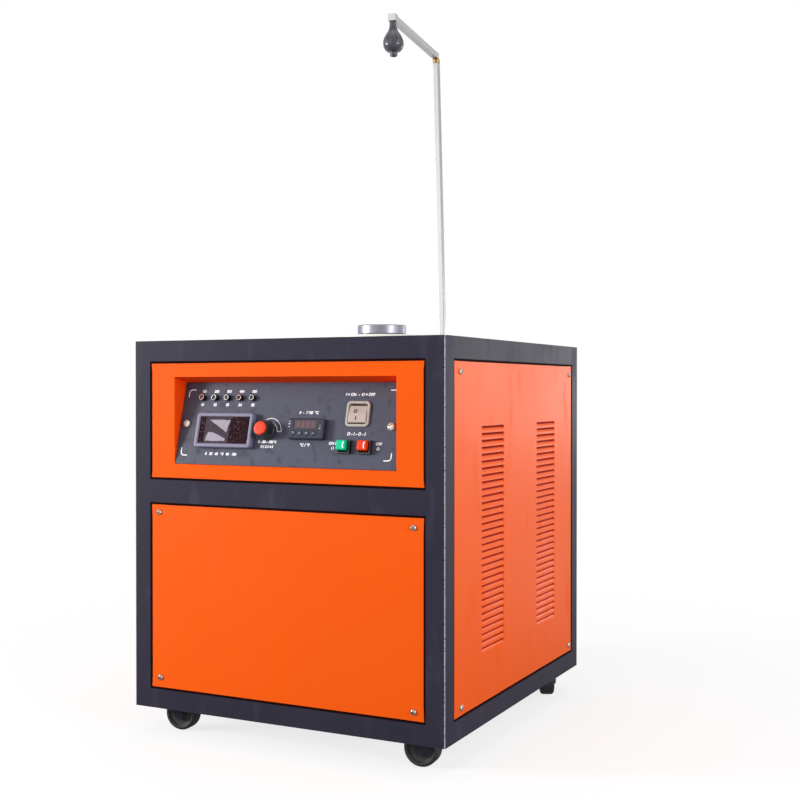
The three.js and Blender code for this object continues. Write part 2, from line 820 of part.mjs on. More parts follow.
const buttonCollarWidth = buttonWidth + 2 * collarRim + 2 * running;
const buttonCollarHeight = buttonHeight + 2 * collarRim + 2 * running;
const collarBodyWidth = buttonCollarWidth - collarRim;
const collarBodyHeight = buttonCollarHeight - collarRim;
function controlPlate() {
  const width = mouthWidth - 2 * plateEdgeGap;
  const blank = block(-width / 2, width / 2, plateEdgeGap, slope - plateEdgeGap, -plate, 0);
  const fit = 2 * running;
  const holes = [
    plateHole(meterX, meterUp, meterBodyWidth + fit, meterBodyHeight + fit),
    plateHole(controllerX, controllerUp, controllerBodyWidth + fit, controllerBodyHeight + fit),
    plateHole(rockerX, rockerUp, rockerBodyWidth + fit, rockerBodyHeight + fit),
    plateHole(startX, buttonUp, collarBodyWidth + fit, collarBodyHeight + fit),
    plateHole(stopX, buttonUp, collarBodyWidth + fit, collarBodyHeight + fit),
    plateBore(knobX, knobUp, knobShaft + fit),
  ];
  for (let lamp = 0; lamp < lampCount; lamp += 1) {
    holes.push(plateBore(lampFirstX + lamp * lampPitch, lampUp, lampBarrelDiameter + fit));
  }
  return cut(blank, holes);
}
piece('control_panel', controlPlate(), 'slatePaint', consoleFoot);

function controlPlace(x, up) {
  return place(consoleFoot, x - mouthWidth / 2, up, 0);
}

// Current meter: a rounded bezel with a sunk dark window, and a body behind the plate
const meterPlace = controlPlace(meterX, meterUp);
function meterBody() {
  const outline = roundedRing(meterWidth, meterHeight, meterCorner, 4);
  const nose = roundedRing(meterWidth - 2 * meterBevel, meterHeight - 2 * meterBevel,
    meterCorner - meterBevel / 2, 4);
  const bezel = loft([[outline, seat], [outline, meterProud - meterBevel], [nose, meterProud]]);
  const body = block(-meterBodyWidth / 2, meterBodyWidth / 2, -meterBodyHeight / 2, meterBodyHeight / 2,
    -meterBodyDepth, seat + weldBite);
  const floor = meterProud - meterWindowSunk - meterGlass - seat;
  const flare = roundedRing(meterWindowWidth + meterBevel, meterWindowHeight + meterBevel, meterBevel, 2);
  const throat = roundedRing(meterWindowWidth, meterWindowHeight, weldBite, 2);
  const window = loft([[throat, floor], [throat, meterProud - meterWindowSunk / 2],
    [flare, meterProud + cutOverrun]]);
  return cut(join(bezel, body), window);
}
piece('meter_body', meterBody(), 'greyPlastic', meterPlace);

function meterWindow() {
  const top = meterProud - meterWindowSunk;
  const ring = roundedRing(meterWindowWidth - 2 * seat, meterWindowHeight - 2 * seat, weldBite, 2);
  return prism(ring, top - meterGlass, top);
}
piece('meter_window', meterWindow(), 'darkGlass', meterPlace);

// Temperature controller: shallow display recess above a row of four small round keys
const controllerPlace = controlPlace(controllerX, controllerUp);
function keyX(key) {
  return keyShift + (key - (keyCount - 1) / 2) * keyPitch;
}

function temperatureController() {
  const outline = roundedRing(controllerWidth, controllerHeight, controllerCorner, 2);
  const nose = roundedRing(controllerWidth - 2 * controllerBevel, controllerHeight - 2 * controllerBevel,
    controllerCorner - controllerBevel / 2, 2);
  const shoulder = controllerProud - controllerBevel;
  const bezel = loft([[outline, seat], [outline, shoulder], [nose, controllerProud]]);
  const body = block(-controllerBodyWidth / 2, controllerBodyWidth / 2,
    -controllerBodyHeight / 2, controllerBodyHeight / 2, -controllerBodyDepth, seat + weldBite);
  const display = block(keyShift / 2 - displayWidth / 2, keyShift / 2 + displayWidth / 2,
    displayUp - displayHeight / 2, displayUp + displayHeight / 2,
    controllerProud - displaySunk, controllerProud + cutOverrun);
  const wells = [];
  for (let key = 0; key < keyCount; key += 1) {
    const ring = shifted(circleRing(keyDiameter / 2 + seat, 12), keyX(key), keyUp);
    wells.push(prism(ring, controllerProud - keyWell, controllerProud + cutOverrun));
  }
  return cut(join(bezel, body), display, wells);
}
piece('temp_controller', temperatureController(), 'blackPlastic', controllerPlace);

for (let key = 0; key < keyCount; key += 1) {
  const top = controllerProud + keyProud;
  const base = controllerProud - keyDepth;
  const r = keyDiameter / 2;
  const dome = turned([[0, base], [r, base], [r, top - keyProud / 2],
    [r * keyDomeShare, top], [0, top]], 12);
  piece(`temp_key_${key + 1}`, dome, 'greyPlastic', place(controllerPlace, keyX(key), keyUp, 0));
}

// Power knob: fluted grip on a skirt, with a red cap set in its nose
const knobPlace = controlPlace(knobX, knobUp);
function powerKnob() {
  const skirtTop = seat + knobSkirt;
  const steps = knobFlutes * 4;
  const dips = [0, 1, 0, -1];
  const round = circleRing(knobSkirtDiameter / 2, steps);
  const fluted = (radius) => circleRing(1, steps).map(([x, y], i) => {
    const wave = radius - knobFluteDepth / 2 - knobFluteDepth / 2 * dips[i % 4];
    return [x * wave, y * wave];
  });
  const grip = loft([[round, seat], [round, skirtTop - weldBite], [fluted(knobDiameter / 2), skirtTop],
    [fluted(knobNose / 2), knobProud]]);
  const shaft = rod(knobShaft / 2, -knobShaftDepth, seat + weldBite, 10);
  const pocket = rod(knobCapDiameter / 2 + seat, knobProud - knobCapSunk, knobProud + cutOverrun, 28);
  return cut(join(grip, shaft), pocket);
}
piece('power_knob', powerKnob(), 'blackPlastic', knobPlace);

function knobCap() {
  const r = knobCapDiameter / 2;
  const base = knobProud - knobCapSunk + seat;
  const top = knobProud + knobCapProud;
  const edge = knobCapProud / 2;
  return turned([[0, base], [r, base], [r, top - edge], [r - edge / 3, top - edge / 3],
    [r - edge, top], [0, top]], 28);
}
piece('knob_cap', knobCap(), 'redPlastic', knobPlace);

// Rocker switch: a broad beige bezel and a paddle that tips on a keel
const rockerPlace = controlPlace(rockerX, rockerUp);
const paddlePivot = -paddleKeel / 2;
function rockerBezel() {
  const outline = roundedRing(rockerWidth, rockerHeight, rockerCorner, 4);
  const nose = roundedRing(rockerWidth - 2 * rockerBevel, rockerHeight - 2 * rockerBevel,
    rockerCorner - rockerBevel, 4);
  const bezel = loft([[outline, seat], [outline, rockerProud - rockerBevel], [nose, rockerProud]]);
  const body = block(-rockerBodyWidth / 2, rockerBodyWidth / 2, -rockerBodyHeight / 2, rockerBodyHeight / 2,
    -rockerBodyDepth, seat + weldBite);
  const well = block(-paddleWidth / 2 - running, paddleWidth / 2 + running,
    -paddleHeight / 2 - running, paddleHeight / 2 + running,
    -rockerBodyDepth + rockerProud, rockerProud + cutOverrun);
  const half = rockerBodyWidth / 2 + cutOverrun;
  const bearing = rod(trunnion / 2 + seat, -half, half, 12);
  return cut(join(bezel, body), well, moved(bearing, 0, 0, paddlePivot, 0, Math.PI / 2, 0));
}
piece('rocker_bezel', rockerBezel(), 'beigePlastic', rockerPlace);

// The paddle's two faces meet at a shallow crown, and it rests tipped with its top pressed in
function rockerPaddle() {
  const half = paddleHeight / 2 - running;
  const top = rockerProud + paddleCrown;
  const edge = top - half * Math.sin(paddleTiltDeg * degree);
  const outline = [
    [-half, edge - paddleThickness], [-half, edge], [0, top], [half, edge],
    [half, edge - paddleThickness], [0, paddlePivot - paddleKeel / 2],
  ];
  const side = (paddleWidth - running) / 2;
  const ring = outline.map(([y, z]) => [y, z - paddlePivot]).reverse();
  const pivots = side + running + trunnionReach;
  const across = join(prism(ring, -side, side), rod(trunnion / 2, -pivots, pivots, 12));
  return moved(across, 0, 0, 0, Math.PI / 2, Math.PI / 2, 0);
}
const paddleMesh = piece('rocker_paddle', rockerPaddle(), 'beigePlastic', rockerPlace);
paddleMesh.position.set(0, 0, paddlePivot);
paddleMesh.rotation.x = -paddleTiltDeg * degree;

// Start and stop push buttons: square caps that slide in black collars
function buttonCollar() {
  const outer = block(-buttonCollarWidth / 2, buttonCollarWidth / 2,
    -buttonCollarHeight / 2, buttonCollarHeight / 2, seat, collarProud);
  const body = block(-collarBodyWidth / 2, collarBodyWidth / 2, -collarBodyHeight / 2, collarBodyHeight / 2,
    -collarBodyDepth, seat + weldBite);
  const wellWidth = buttonWidth / 2 + running;
  const wellHeight = buttonHeight / 2 + running;
  const wellFloor = collarProud - buttonSunk - buttonTravel - running;
  const well = block(-wellWidth, wellWidth, -wellHeight, wellHeight, wellFloor, collarProud + cutOverrun);
  return cut(join(outer, body), well);
}

function buttonCap() {
  const outline = roundedRing(buttonWidth, buttonHeight, buttonCorner, 2);
  const nose = roundedRing(buttonWidth - 2 * buttonBevel, buttonHeight - 2 * buttonBevel,
    buttonCorner - buttonBevel / 2, 2);
  const shoulder = buttonProud - buttonBevel;
  return loft([[outline, collarProud - buttonSunk], [outline, shoulder], [nose, buttonProud]]);
}
for (const [name, x, look] of [['start', startX, 'greenPlastic'], ['stop', stopX, 'redPlastic']]) {
  const buttonPlace = controlPlace(x, buttonUp);
  piece(`${name}_collar`, buttonCollar(), 'blackPlastic', buttonPlace);
  piece(`${name}_button`, buttonCap(), look, buttonPlace);
}

// Indicator lamps: a bright bezel with a sunk lens, and a barrel through the plate
function indicatorLamp() {
  const r = lampBezelDiameter / 2;
  const barrel = lampBarrelDiameter / 2;
  const lens = lampLensDiameter / 2;
  return turned([[0, -lampDepth], [barrel, -lampDepth], [barrel, seat], [r, seat], [r, lampProud - weldBite],
    [r - weldBite, lampProud], [lens, lampProud], [lens, lampProud - lampLensSunk],
    [0, lampProud - lampLensSunk / 3]], 12);
}
for (let lamp = 0; lamp < lampCount; lamp += 1) {
  piece(`lamp_${lamp + 1}`, indicatorLamp(), 'zinc', controlPlace(lampFirstX + lamp * lampPitch, lampUp));
}

// Top: a refractory board under the top legs, with the flanged lining sleeve through it
function topBoard() {
  const x = halfWidth - steel - boardInset;
  const y = halfDepth - steel - boardInset;
  const blank = block(-x, x, -y, y, boardTop - boardThickness, boardTop);
  const ring = shifted(circleRing(sleeveDiameter / 2 + running, 28), wellX, wellY);
  return cut(blank, prism(ring, boardTop - boardThickness - cutOverrun, boardTop + cutOverrun));
}
piece('top_board', topBoard(), 'refractory', cabinet);

const well = place(cabinet, wellX, wellY, 0);
function cruciblePocket() {
  const r = sleeveDiameter / 2;
  const flange = collarDiameter / 2;
  const top = boardTop + collarHeight;
  const bore = sleeveBore / 2;
  return turned([[0, sleeveFloorTop - sleeveFloor], [r, sleeveFloorTop - sleeveFloor], [r, boardTop],
    [flange, boardTop], [flange, top - collarBevel], [flange - collarBevel, top], [bore, top],
    [bore, sleeveFloorTop], [0, sleeveFloorTop]], 28);
}
piece('crucible_sleeve', cruciblePocket(), 'refractory', well);

function crucible() {
  const base = sleeveFloorTop + seat;
  const rim = crucibleDiameter / 2;
  const foot = crucibleFootDiameter / 2;
  return turned([[0, base], [foot, base], [foot + crucibleClear, base + crucibleClear],
    [rim, rimZ - crucibleWall], [rim, rimZ], [rim - crucibleWall, rimZ],
    [foot - crucibleWall, base + crucibleFloor], [0, base + crucibleFloor - crucibleClear]], 28);
}
piece('graphite_crucible', crucible(), 'graphite', well);

function crucibleLid() {
  const base = rimZ + seat;
  const top = base + lidHeight;
  const r = lidDiameter / 2;
  const spigot = crucibleDiameter / 2 - crucibleWall - lidSpigotClear;
  const foot = base - lidSpigot;
  return turned([[0, foot], [spigot - lidBevel, foot], [spigot, foot + lidBevel], [spigot, base],
    [r, base], [r, top - lidBevel], [r - lidBevel, top], [0, top]], 36);
}
piece('crucible_lid', crucibleLid(), 'lidSteel', well);

// Work coil: one copper tube, up from a terminal, round the sleeve and down to the other
function coilPath() {
  const radius = sleeveDiameter / 2 + coilClear + coilTube / 2;
  const top = boardTop - boardThickness - coilTopDrop;
  const bottom = top - coilTurns * coilPitch;
  const points = [];
  const lead = (side, z, towardsCoil) => {
    const run = [];
    run.push([radius, side * coilLeadReach, terminalTop + seat]);
    run.push([radius, side * coilLeadReach, z - coilBend]);
    for (let step = 1; step < 6; step += 1) {
      const angle = step / 6 * Math.PI / 2;
      const along = coilLeadReach - coilBend * (1 - Math.cos(angle));
      run.push([radius, side * along, z - coilBend * (1 - Math.sin(angle))]);
    }
    run.push([radius, side * (coilLeadReach - coilBend), z]);
    return towardsCoil ? run : run.reverse();
  };
  points.push(...lead(-1, bottom, true));
  const steps = coilTurns * coilStepsPerTurn;
  for (let step = 0; step <= steps; step += 1) {
    const angle = step / coilStepsPerTurn * 2 * Math.PI;
    const rise = bottom + step / steps * (top - bottom);
    points.push([radius * Math.cos(angle), radius * Math.sin(angle), rise]);
  }
  points.push(...lead(1, top, false));
  return points.map(([x, y, z]) => new THREE.Vector3(x, y, z));
}

// A tube of even section along points, closed at both ends; its rings turn as little as they can
function tube(points, radius, sides) {
  const positions = [];
  const index = [];
  let normal = new THREE.Vector3(1, 0, 0);
  points.forEach((point, i) => {
    const before = points[Math.max(i - 1, 0)];
    const after = points[Math.min(i + 1, points.length - 1)];
    const tangent = after.clone().sub(before).normalize();
    normal = normal.clone().addScaledVector(tangent, -normal.dot(tangent)).normalize();
    const binormal = tangent.clone().cross(normal);
    for (const [x, y] of circleRing(radius, sides)) {
      const corner = point.clone().addScaledVector(normal, x).addScaledVector(binormal, y);
      positions.push(...corner.toArray());
    }
  });
  for (let ring = 0; ring + 1 < points.length; ring += 1) {
    for (let side = 0; side < sides; side += 1) {
      const a = ring * sides + side;
      const b = ring * sides + (side + 1) % sides;
      index.push(a, b, b + sides, a, b + sides, a + sides);
    }
  }
  const last = (points.length - 1) * sides;
  for (let side = 1; side + 1 < sides; side += 1) {
    index.push(0, side + 1, side);
    index.push(last, last + side, last + side + 1);
  }
  const geometry = new THREE.BufferGeometry();
  geometry.setAttribute('position', new THREE.Float32BufferAttribute(positions, 3));
  geometry.setIndex(index);
  return solid(geometry);
}
piece('induction_coil', tube(coilPath(), coilTube / 2, coilSides), 'copper', well);

// Generator on the floor tray: finned heat sink, power box, capacitor drums and coil terminals
function inverterModule() {
  const base = barFace + sheet;
  const halfW = moduleWidth / 2;
  const halfD = moduleDepth / 2;
  const sinkTop = base + finHeight + sinkBase;
  const parts = [block(-halfW, halfW, -halfD, halfD, base + finHeight, sinkTop)];
  const pitch = (moduleWidth - finThickness) / (finCount - 1);
  for (let fin = 0; fin < finCount; fin += 1) {
    const x = fin * pitch - halfW;
    parts.push(block(x, x + finThickness, -halfD, halfD, base, sinkTop));
  }
  const boxTop = sinkTop + boxHeight;
  parts.push(block(boxMargin - halfW, halfW - boxMargin, boxMargin - halfD, halfD - boxMargin,
    sinkTop, boxTop));
  for (const side of [-1, 1]) {
    const drum = rod(drumDiameter / 2, boxTop, boxTop + drumHeight, 18);
    parts.push(moved(drum, drumDiameter - halfW, side * drumSpread / 2, 0));
    const x = sleeveDiameter / 2 + coilClear + coilTube / 2;
    const y = side * coilLeadReach;
    const t = terminalSize / 2;
    parts.push(block(x - t, x + t, y - t, y + t, boxTop, terminalTop));
  }
  return join(parts);
}
piece('inverter_module', inverterModule(), 'aluminium', well);

// Probe stand: a leaning square post, a brass bush, and an arm that swings over the well
const stand = place(cabinet, postX, halfDepth - socketY, frameHeight);
stand.rotation.y = -postLean;
function squareTube(size, wallThickness, z0, z1) {
  const bore = size - 2 * wallThickness;
  const outer = prism(roundedRing(size, size, wallThickness, 2), z0, z1);
  return cut(outer, block(-bore / 2, bore / 2, -bore / 2, bore / 2, z0 - cutOverrun, z1 + cutOverrun));
}
const postBottom = socketFloor + seat - socketBelow;
piece('probe_post', squareTube(postSize, postWall, postBottom, postAboveFrame), 'stainless', stand);

const bushBottom = postAboveFrame + seat;
const bushTop = bushBottom + bushHeight;
function brassBush() {
  const spigot = bushSpigot / 2;
  const pin = bushPin / 2;
  const r = bushDiameter / 2;
  const foot = bushBottom - bushSpigotLength;
  return turned([[0, foot], [spigot, foot], [spigot, bushBottom], [r - weldBite, bushBottom],
    [r, bushBottom + weldBite], [r, bushTop - weldBite], [r - weldBite, bushTop],
    [pin, bushTop], [pin, bushTop + armPinDepth], [0, bushTop + armPinDepth]], 14);
}
piece('arm_bush', brassBush(), 'brass', stand);

const arm = place(stand, 0, 0, bushTop + seat);
arm.rotation.z = armSwingDeg * degree;
function probeArm() {
  const half = armSize / 2;
  const bar = block(-half, half, -armLength, 0, 0, armSize);
  const roundEnd = rod(half, 0, armSize, 20);
  const nose = block(-armNose / 2, armNose / 2, -armLength - armNose / 2, armNose / 2 - armLength,
    -weldBite, armSize + weldBite);
  const pinHole = rod(bushPin / 2 + seat, -cutOverrun, armPinDepth + seat, 16);
  return cut(join(bar, roundEnd, nose), pinHole);
}
piece('probe_arm', probeArm(), 'stainless', arm);

// Black fluted bulb that grips the temperature probe, with a lobed collet at its foot
const bulbShares = [
  [0.31, 0], [0.36, 0.12], [0.53, 0.27], [0.8, 0.43], [0.95, 0.6],
  [1, 0.74], [0.95, 0.88], [0.68, 1],
];
function fluteDepth(share) {
  const along = Math.min(1, Math.max(0, (share - bulbFluteStartShare) / bulbFluteSpanShare));
  return bulbFluteShare * Math.sin(Math.PI * along);
}

function probeHolder() {
  const r = bulbDiameter / 2;
  const top = -seat - weldBite;
  const sections = bulbShares.map(([radiusShare, lengthShare]) => {
    const ring = circleRing(1, bulbSteps).map(([x, y], i) => {
      const wave = 1 - fluteDepth(lengthShare) * (1 - Math.cos(i / bulbSteps * bulbFlutes * 2 * Math.PI));
      return [x * r * radiusShare * wave, y * r * radiusShare * wave];
    });
    return [ring, top - lengthShare * bulbLength];
  }).reverse();
  const foot = top - bulbLength;
  const tip = foot - colletLength;
  const lobes = rod(colletDiameter / 2, tip, foot + weldBite, 16);
  const slits = [];
  for (let lobe = 0; lobe < colletLobes / 2; lobe += 1) {
    const slit = block(-colletDiameter, colletDiameter, -colletSlit / 2, colletSlit / 2,
      tip - cutOverrun, foot - weldBite);
    slits.push(moved(slit, 0, 0, 0, 0, 0, lobe / colletLobes * 2 * Math.PI));
  }
  const bore = rod(colletBore / 2, tip - cutOverrun, tip + colletBoreDepth, 12);
  return cut(join(loft(sections), lobes), slits, bore);
}
piece('probe_holder', probeHolder(), 'blackPlastic', place(arm, 0, -armLength, 0));

// Casters under the corners: plate with ball race, swivelling fork with its axle, rubber wheel
function casterTopPlate() {
  const top = barFace - steel;
  const raceTop = top - casterPlate;
  const raceBottom = raceTop - casterRace;
  const pinBottom = raceBottom - 2 * seat - casterCrown;
  const flat = prism(roundedRing(casterPlateLength, casterPlateWidth, cornerRound, 2), raceTop, top);
  const r = casterRaceDiameter / 2;
  const headBottom = pinBottom - kingpinHeadHeight;
  const chamfer = casterRace / 2;
  const race = turned([[0, headBottom], [kingpinHead / 2, headBottom], [kingpinHead / 2, pinBottom],
    [kingpin / 2, pinBottom], [kingpin / 2, raceBottom], [r - chamfer, raceBottom],
    [r, raceBottom + chamfer], [r, raceTop + weldBite], [0, raceTop + weldBite]], 14);
  return join(flat, race);
}

const axleZ = wheelDiameter / 2 - floorGap;
const forkTop = barFace - steel - casterPlate - casterRace - seat;
const cheekOut = wheelWidth / 2 + wheelHubGap + seat;
function casterFork() {
  const r = casterRaceDiameter / 2;
  const crownBottom = forkTop - casterCrown;
  const hole = kingpin / 2 + seat;
  const crown = turned([[hole, crownBottom], [r - weldBite, crownBottom], [r, crownBottom + weldBite],
    [r, forkTop], [hole, forkTop], [hole, crownBottom]], 14);
  const arc = [];
  for (let step = 0; step <= 5; step += 1) {
    const angle = (-160 + step / 5 * 180) * degree;
    arc.push([casterTrail + forkBoss * Math.cos(angle), axleZ + forkBoss * Math.sin(angle)]);
  }
  const profile = [[-forkShoulder, crownBottom + weldBite], ...arc, [casterTrail + forkBoss, crownBottom / 2],
    [forkShoulder, crownBottom + weldBite]];
  const cheek = (y0, y1) => moved(prism(profile, -y1, -y0), 0, 0, 0, Math.PI / 2, 0, 0);
  const inner = cheekOut;
  const outer = cheekOut + forkSheet;
  const axle = moved(rod(axleDiameter / 2, -outer, outer, 12), casterTrail, 0, axleZ, Math.PI / 2, 0, 0);
  return join(crown, cheek(inner, outer), cheek(-outer, -inner), axle);
}

function casterWheel() {
  const r = wheelDiameter / 2;
  const half = wheelWidth / 2;
  const bore = axleDiameter / 2 + seat;
  const hub = wheelHubDiameter / 2;
  const hubEnd = half + wheelHubGap;
  const web = half - wheelCrown;
  return turned([[bore, -hubEnd], [hub, -hubEnd], [hub, -web], [r - wheelCrown, -half],
    [r, wheelCrown - half], [r, half - wheelCrown], [r - wheelCrown, half], [hub, web],
    [hub, hubEnd], [bore, hubEnd], [bore, -hubEnd]], 20);
}

const casters = [
  ['front_left', -1, -1, 6],
  ['front_right', 1, -1, 184],
  ['rear_left', -1, 1, 24],
  ['rear_right', 1, 1, -64],
];
for (const [name, signX, signY, trailDeg] of casters) {
  const x = signX * (halfWidth - casterInsetX);
  const y = signY * (halfDepth - casterInsetY);
  const corner = place(cabinet, x, y, 0);
  piece(`caster_plate_${name}`, casterTopPlate(), 'zinc', corner);
  const swivel = place(corner, 0, 0, 0);
  swivel.rotation.z = trailDeg * degree;
  piece(`caster_fork_${name}`, casterFork(), 'blackPaint', swivel);
  const wheel = piece(`caster_wheel_${name}`, casterWheel(), 'rubber', swivel);
  wheel.position.set(casterTrail, 0, axleZ);
  wheel.rotation.x = Math.PI / 2;
}

// The rear fittings reach past the frame, so the whole is moved to stand over the origin
const bounds = new THREE.Box3().setFromObject(furnace, true);
furnace.position.y = -(bounds.min.y + bounds.max.y) / 2;

export default furnace;
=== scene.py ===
# %% [markdown]
# # An electric gold melting furnace in a plain studio
#
# The furnace is a steel cabinet on casters. Its load-bearing pieces come from the packed
# CAD model, which is loaded first and never moved. Blender adds what a CAD model leaves
# out: smooth turned and moulded pieces, printed marks, screws, and finishes with grain.

import json

import bmesh
import bpy
import numpy as np
from mathutils import Matrix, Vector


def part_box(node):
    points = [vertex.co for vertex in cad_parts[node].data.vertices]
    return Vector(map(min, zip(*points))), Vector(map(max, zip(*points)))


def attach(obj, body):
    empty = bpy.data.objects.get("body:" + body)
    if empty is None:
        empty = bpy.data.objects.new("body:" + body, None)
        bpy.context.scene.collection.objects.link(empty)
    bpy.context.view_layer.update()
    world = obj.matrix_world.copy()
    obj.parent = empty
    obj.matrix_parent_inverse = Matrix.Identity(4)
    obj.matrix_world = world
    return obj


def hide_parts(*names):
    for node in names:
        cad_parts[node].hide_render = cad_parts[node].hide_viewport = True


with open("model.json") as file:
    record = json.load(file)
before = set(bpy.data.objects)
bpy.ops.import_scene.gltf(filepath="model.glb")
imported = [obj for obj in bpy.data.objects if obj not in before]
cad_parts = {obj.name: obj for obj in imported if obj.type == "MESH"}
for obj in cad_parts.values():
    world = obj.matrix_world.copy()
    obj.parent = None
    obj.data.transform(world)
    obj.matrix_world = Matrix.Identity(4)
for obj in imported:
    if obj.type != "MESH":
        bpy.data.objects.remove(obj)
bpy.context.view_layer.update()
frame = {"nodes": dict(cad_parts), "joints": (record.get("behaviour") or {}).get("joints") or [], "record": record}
nodes = frame["nodes"]
MM = 0.001


def added(name, data, *columns):
    """A new object in the scene. Columns are its own x, y and z directions and its place."""
    thing = bpy.data.objects.new(name, data)
    if columns:
        pose = np.eye(4)
        pose[:3, :4] = np.column_stack(columns)
        thing.matrix_world = Matrix(pose)
    bpy.context.scene.collection.objects.link(thing)
    return thing


# %% [markdown]
# ## The camera
#
# The camera's place, its turn and its focal length were worked out from the straight edges
# of the frame in the photo. A camera looks along its own -Z, so its matrix has the right,
# up and backward directions as columns.

# %% Camera
TURN, TILT = np.radians(26.4613), np.radians(-0.52838)
FOCAL_PIXELS, PHOTO_PIXELS, SENSOR = 1217.17, 800, 36
forward = np.array([-np.sin(TURN) * np.cos(TILT), np.cos(TURN) * np.cos(TILT), np.sin(TILT)])
right = np.array([np.cos(TURN), np.sin(TURN), 0])
above = np.cross(right, forward)
eye = np.array([0.9044, -1.72545, 0.51025])
lens = bpy.data.cameras.new("photo_camera")
lens.lens = FOCAL_PIXELS / PHOTO_PIXELS * SENSOR
lens.sensor_width = SENSOR
bpy.context.scene.camera = added("photo_camera", lens, right, above, -forward, eye)
print("the lens is", round(lens.lens, 2), "mm")

# %% [markdown]
# ## Shader maths
#
# A finish is a small network of nodes, and most of it is arithmetic on noise. The class
# below lets that arithmetic be written as an ordinary sum: each operator on a Field adds
# one Math node. A Finish holds the network and makes every other node in one place.


# %% Fields and finishes
class Field:
    """A number that changes over a surface. Operators on it add Math nodes."""

    def __init__(self, finish, socket):
        self.finish, self.socket = finish, socket

    def _math(self, operation, *values):
        return self.finish.field("ShaderNodeMath", {"operation": operation}, *values)

    def __add__(self, other):
        return self._math("ADD", self, other)

    def __mul__(self, other):
        return self._math("MULTIPLY", self, other)

    def __sub__(self, other):
        return self._math("SUBTRACT", self, other)

    def __rsub__(self, other):
        return self._math("SUBTRACT", other, self)

    def __pow__(self, other):
        return self._math("POWER", self, other)

    __radd__, __rmul__ = __add__, __mul__

    def over(self, other):
        """The larger of the two."""
        return self._math("MAXIMUM", self, other)

    def size(self):
        return self._math("ABSOLUTE", self)

    def wave(self):
        return self._math("SINE", self)

    def between(self, low, high):
        """0 below low, 1 above high, and smooth in between."""
        settings = {"interpolation_type": "SMOOTHSTEP"}
        return self.finish.field("ShaderNodeMapRange", settings, self, low, high, 0, 1)


class Finish:
    """One material: a Principled shader fed by a network of nodes."""

    def __init__(self, name):
        self.material = bpy.data.materials.new(name)
        self.material.use_nodes = True
        self.tree = self.material.node_tree
        self.tree.nodes.clear()
        self.place = self.node("ShaderNodeTexCoord").outputs["Object"]

    def feed(self, socket, value):
        if isinstance(value, Field):
            value = value.socket
        if isinstance(value, bpy.types.NodeSocket):
            self.tree.links.new(value, socket)
        elif socket.type == "RGBA":
            socket.default_value = (*value, 1)
        else:
            socket.default_value = value

    def node(self, kind, settings=None, *values, **named):
        """A node of that kind: settings first, then what goes into its sockets."""
        node = self.tree.nodes.new(kind)
        for key, value in (settings or {}).items():
            setattr(node, key, value)
        for position, value in enumerate(values):
            self.feed(node.inputs[position], value)
        for key, value in named.items():
            self.feed(node.inputs[key.replace("_", " ")], value)
        return node

    def field(self, kind, settings, *values, **named):
        return Field(self, self.node(kind, settings, *values, **named).outputs[0])

    def noise(self, scale, detail=2, place=None, roughness=0.5):
        return self.field("ShaderNodeTexNoise", None, Vector=place or self.place, Scale=scale,
                          Detail=detail, Roughness=roughness)

    def cells(self, scale):
        """Distance to the nearest of many scattered points."""
        return self.field("ShaderNodeTexVoronoi", None, Vector=self.place, Scale=scale)

    def moved(self, centre=(0, 0, 0), stretch=(1, 1, 1)):
        """The place on the piece, measured from a centre and stretched along the axes."""
        shifted = self.node("ShaderNodeVectorMath", {"operation": "SUBTRACT"}, self.place, centre)
        return self.node("ShaderNodeMapping", {"vector_type": "POINT"}, shifted.outputs[0],
                         Scale=stretch).outputs[0]

    def parts(self, place):
        split = self.node("ShaderNodeSeparateXYZ", None, place)
        return [Field(self, socket) for socket in split.outputs]

    def blend(self, first, second, share):
        mix = self.node("ShaderNodeMix", {"data_type": "RGBA"})
        for socket, value in ((0, share), (6, first), (7, second)):
            self.feed(mix.inputs[socket], value)
        return mix.outputs[2]

    def done(self, colour, roughness, height, depth, **more):
        """The material, with its Principled shader joined to the output. Height is a field
        of 0 to 1 for the bump, and it stands for that depth in metres."""
        bump = self.node("ShaderNodeBump", None, Strength=1, Distance=depth, Height=height)
        shader = self.node("ShaderNodeBsdfPrincipled", None, Base_Color=colour,
                           Roughness=roughness, Normal=bump.outputs[0], **more)
        self.node("ShaderNodeOutputMaterial", None, shader.outputs[0])
        return self.material


# %% [markdown]
# ## Painted steel
#
# The cabinet is powder coated. The powder melts into a skin with a fine orange-peel
# ripple, about a millimetre across and a tenth of a millimetre deep at most, so it is bump
# on two scales of noise. The frame's black coat is duller and has faint smears where hands
# and cloths have been; a light line along its front corners is a painted highlight. The
# pressed-in louvres get painted dark red shade on their flaps, and the console's recess
# gets painted shade on its upper wall and a brighter, deeper painted light on its others.


# %% Powder coats
def powder_coat(name, colour, shadow, roughness, ripple, smears, gloss, painted_highlight=None, painted_light_and_shade=()):
    """The painted highlight is the colour of a highlight painted along the front legs' corners.
    Each entry of painted light and shade is a colour of painted shade or painted light, a
    function that is 1 where it is painted, and how much of the coat's white sheen is taken
    away there by making the coat that much metallic."""
    coat = Finish(name)
    broad = coat.noise(5, 3)
    smear = coat.noise(31, 5, coat.moved(stretch=(1, 1, 0.35))).between(0.52, 0.74)
    peel = coat.noise(850, 1) * 0.6 + coat.noise(2300, 2) * 0.4
    tint = coat.blend(colour, shadow, broad * 0.5 + smear * smears)
    if painted_highlight:
        tint = coat.blend(tint, painted_highlight, highlight_corner_mask(coat))
    rough = roughness + smear * 0.12 + (broad - 0.5) * 0.1
    unsheened = 0
    for painted_colour, inside, share in painted_light_and_shade:
        hollow = inside(coat)
        tint = coat.blend(tint, painted_colour, hollow)
        rough = rough + hollow * 0.3
        unsheened = hollow * share + unsheened
    return coat.done(tint, rough, peel, ripple, Metallic=unsheened, Specular_IOR_Level=gloss)


LOUVRE_MIDDLE, LOUVRE_REACH = -0.0115, 0.2


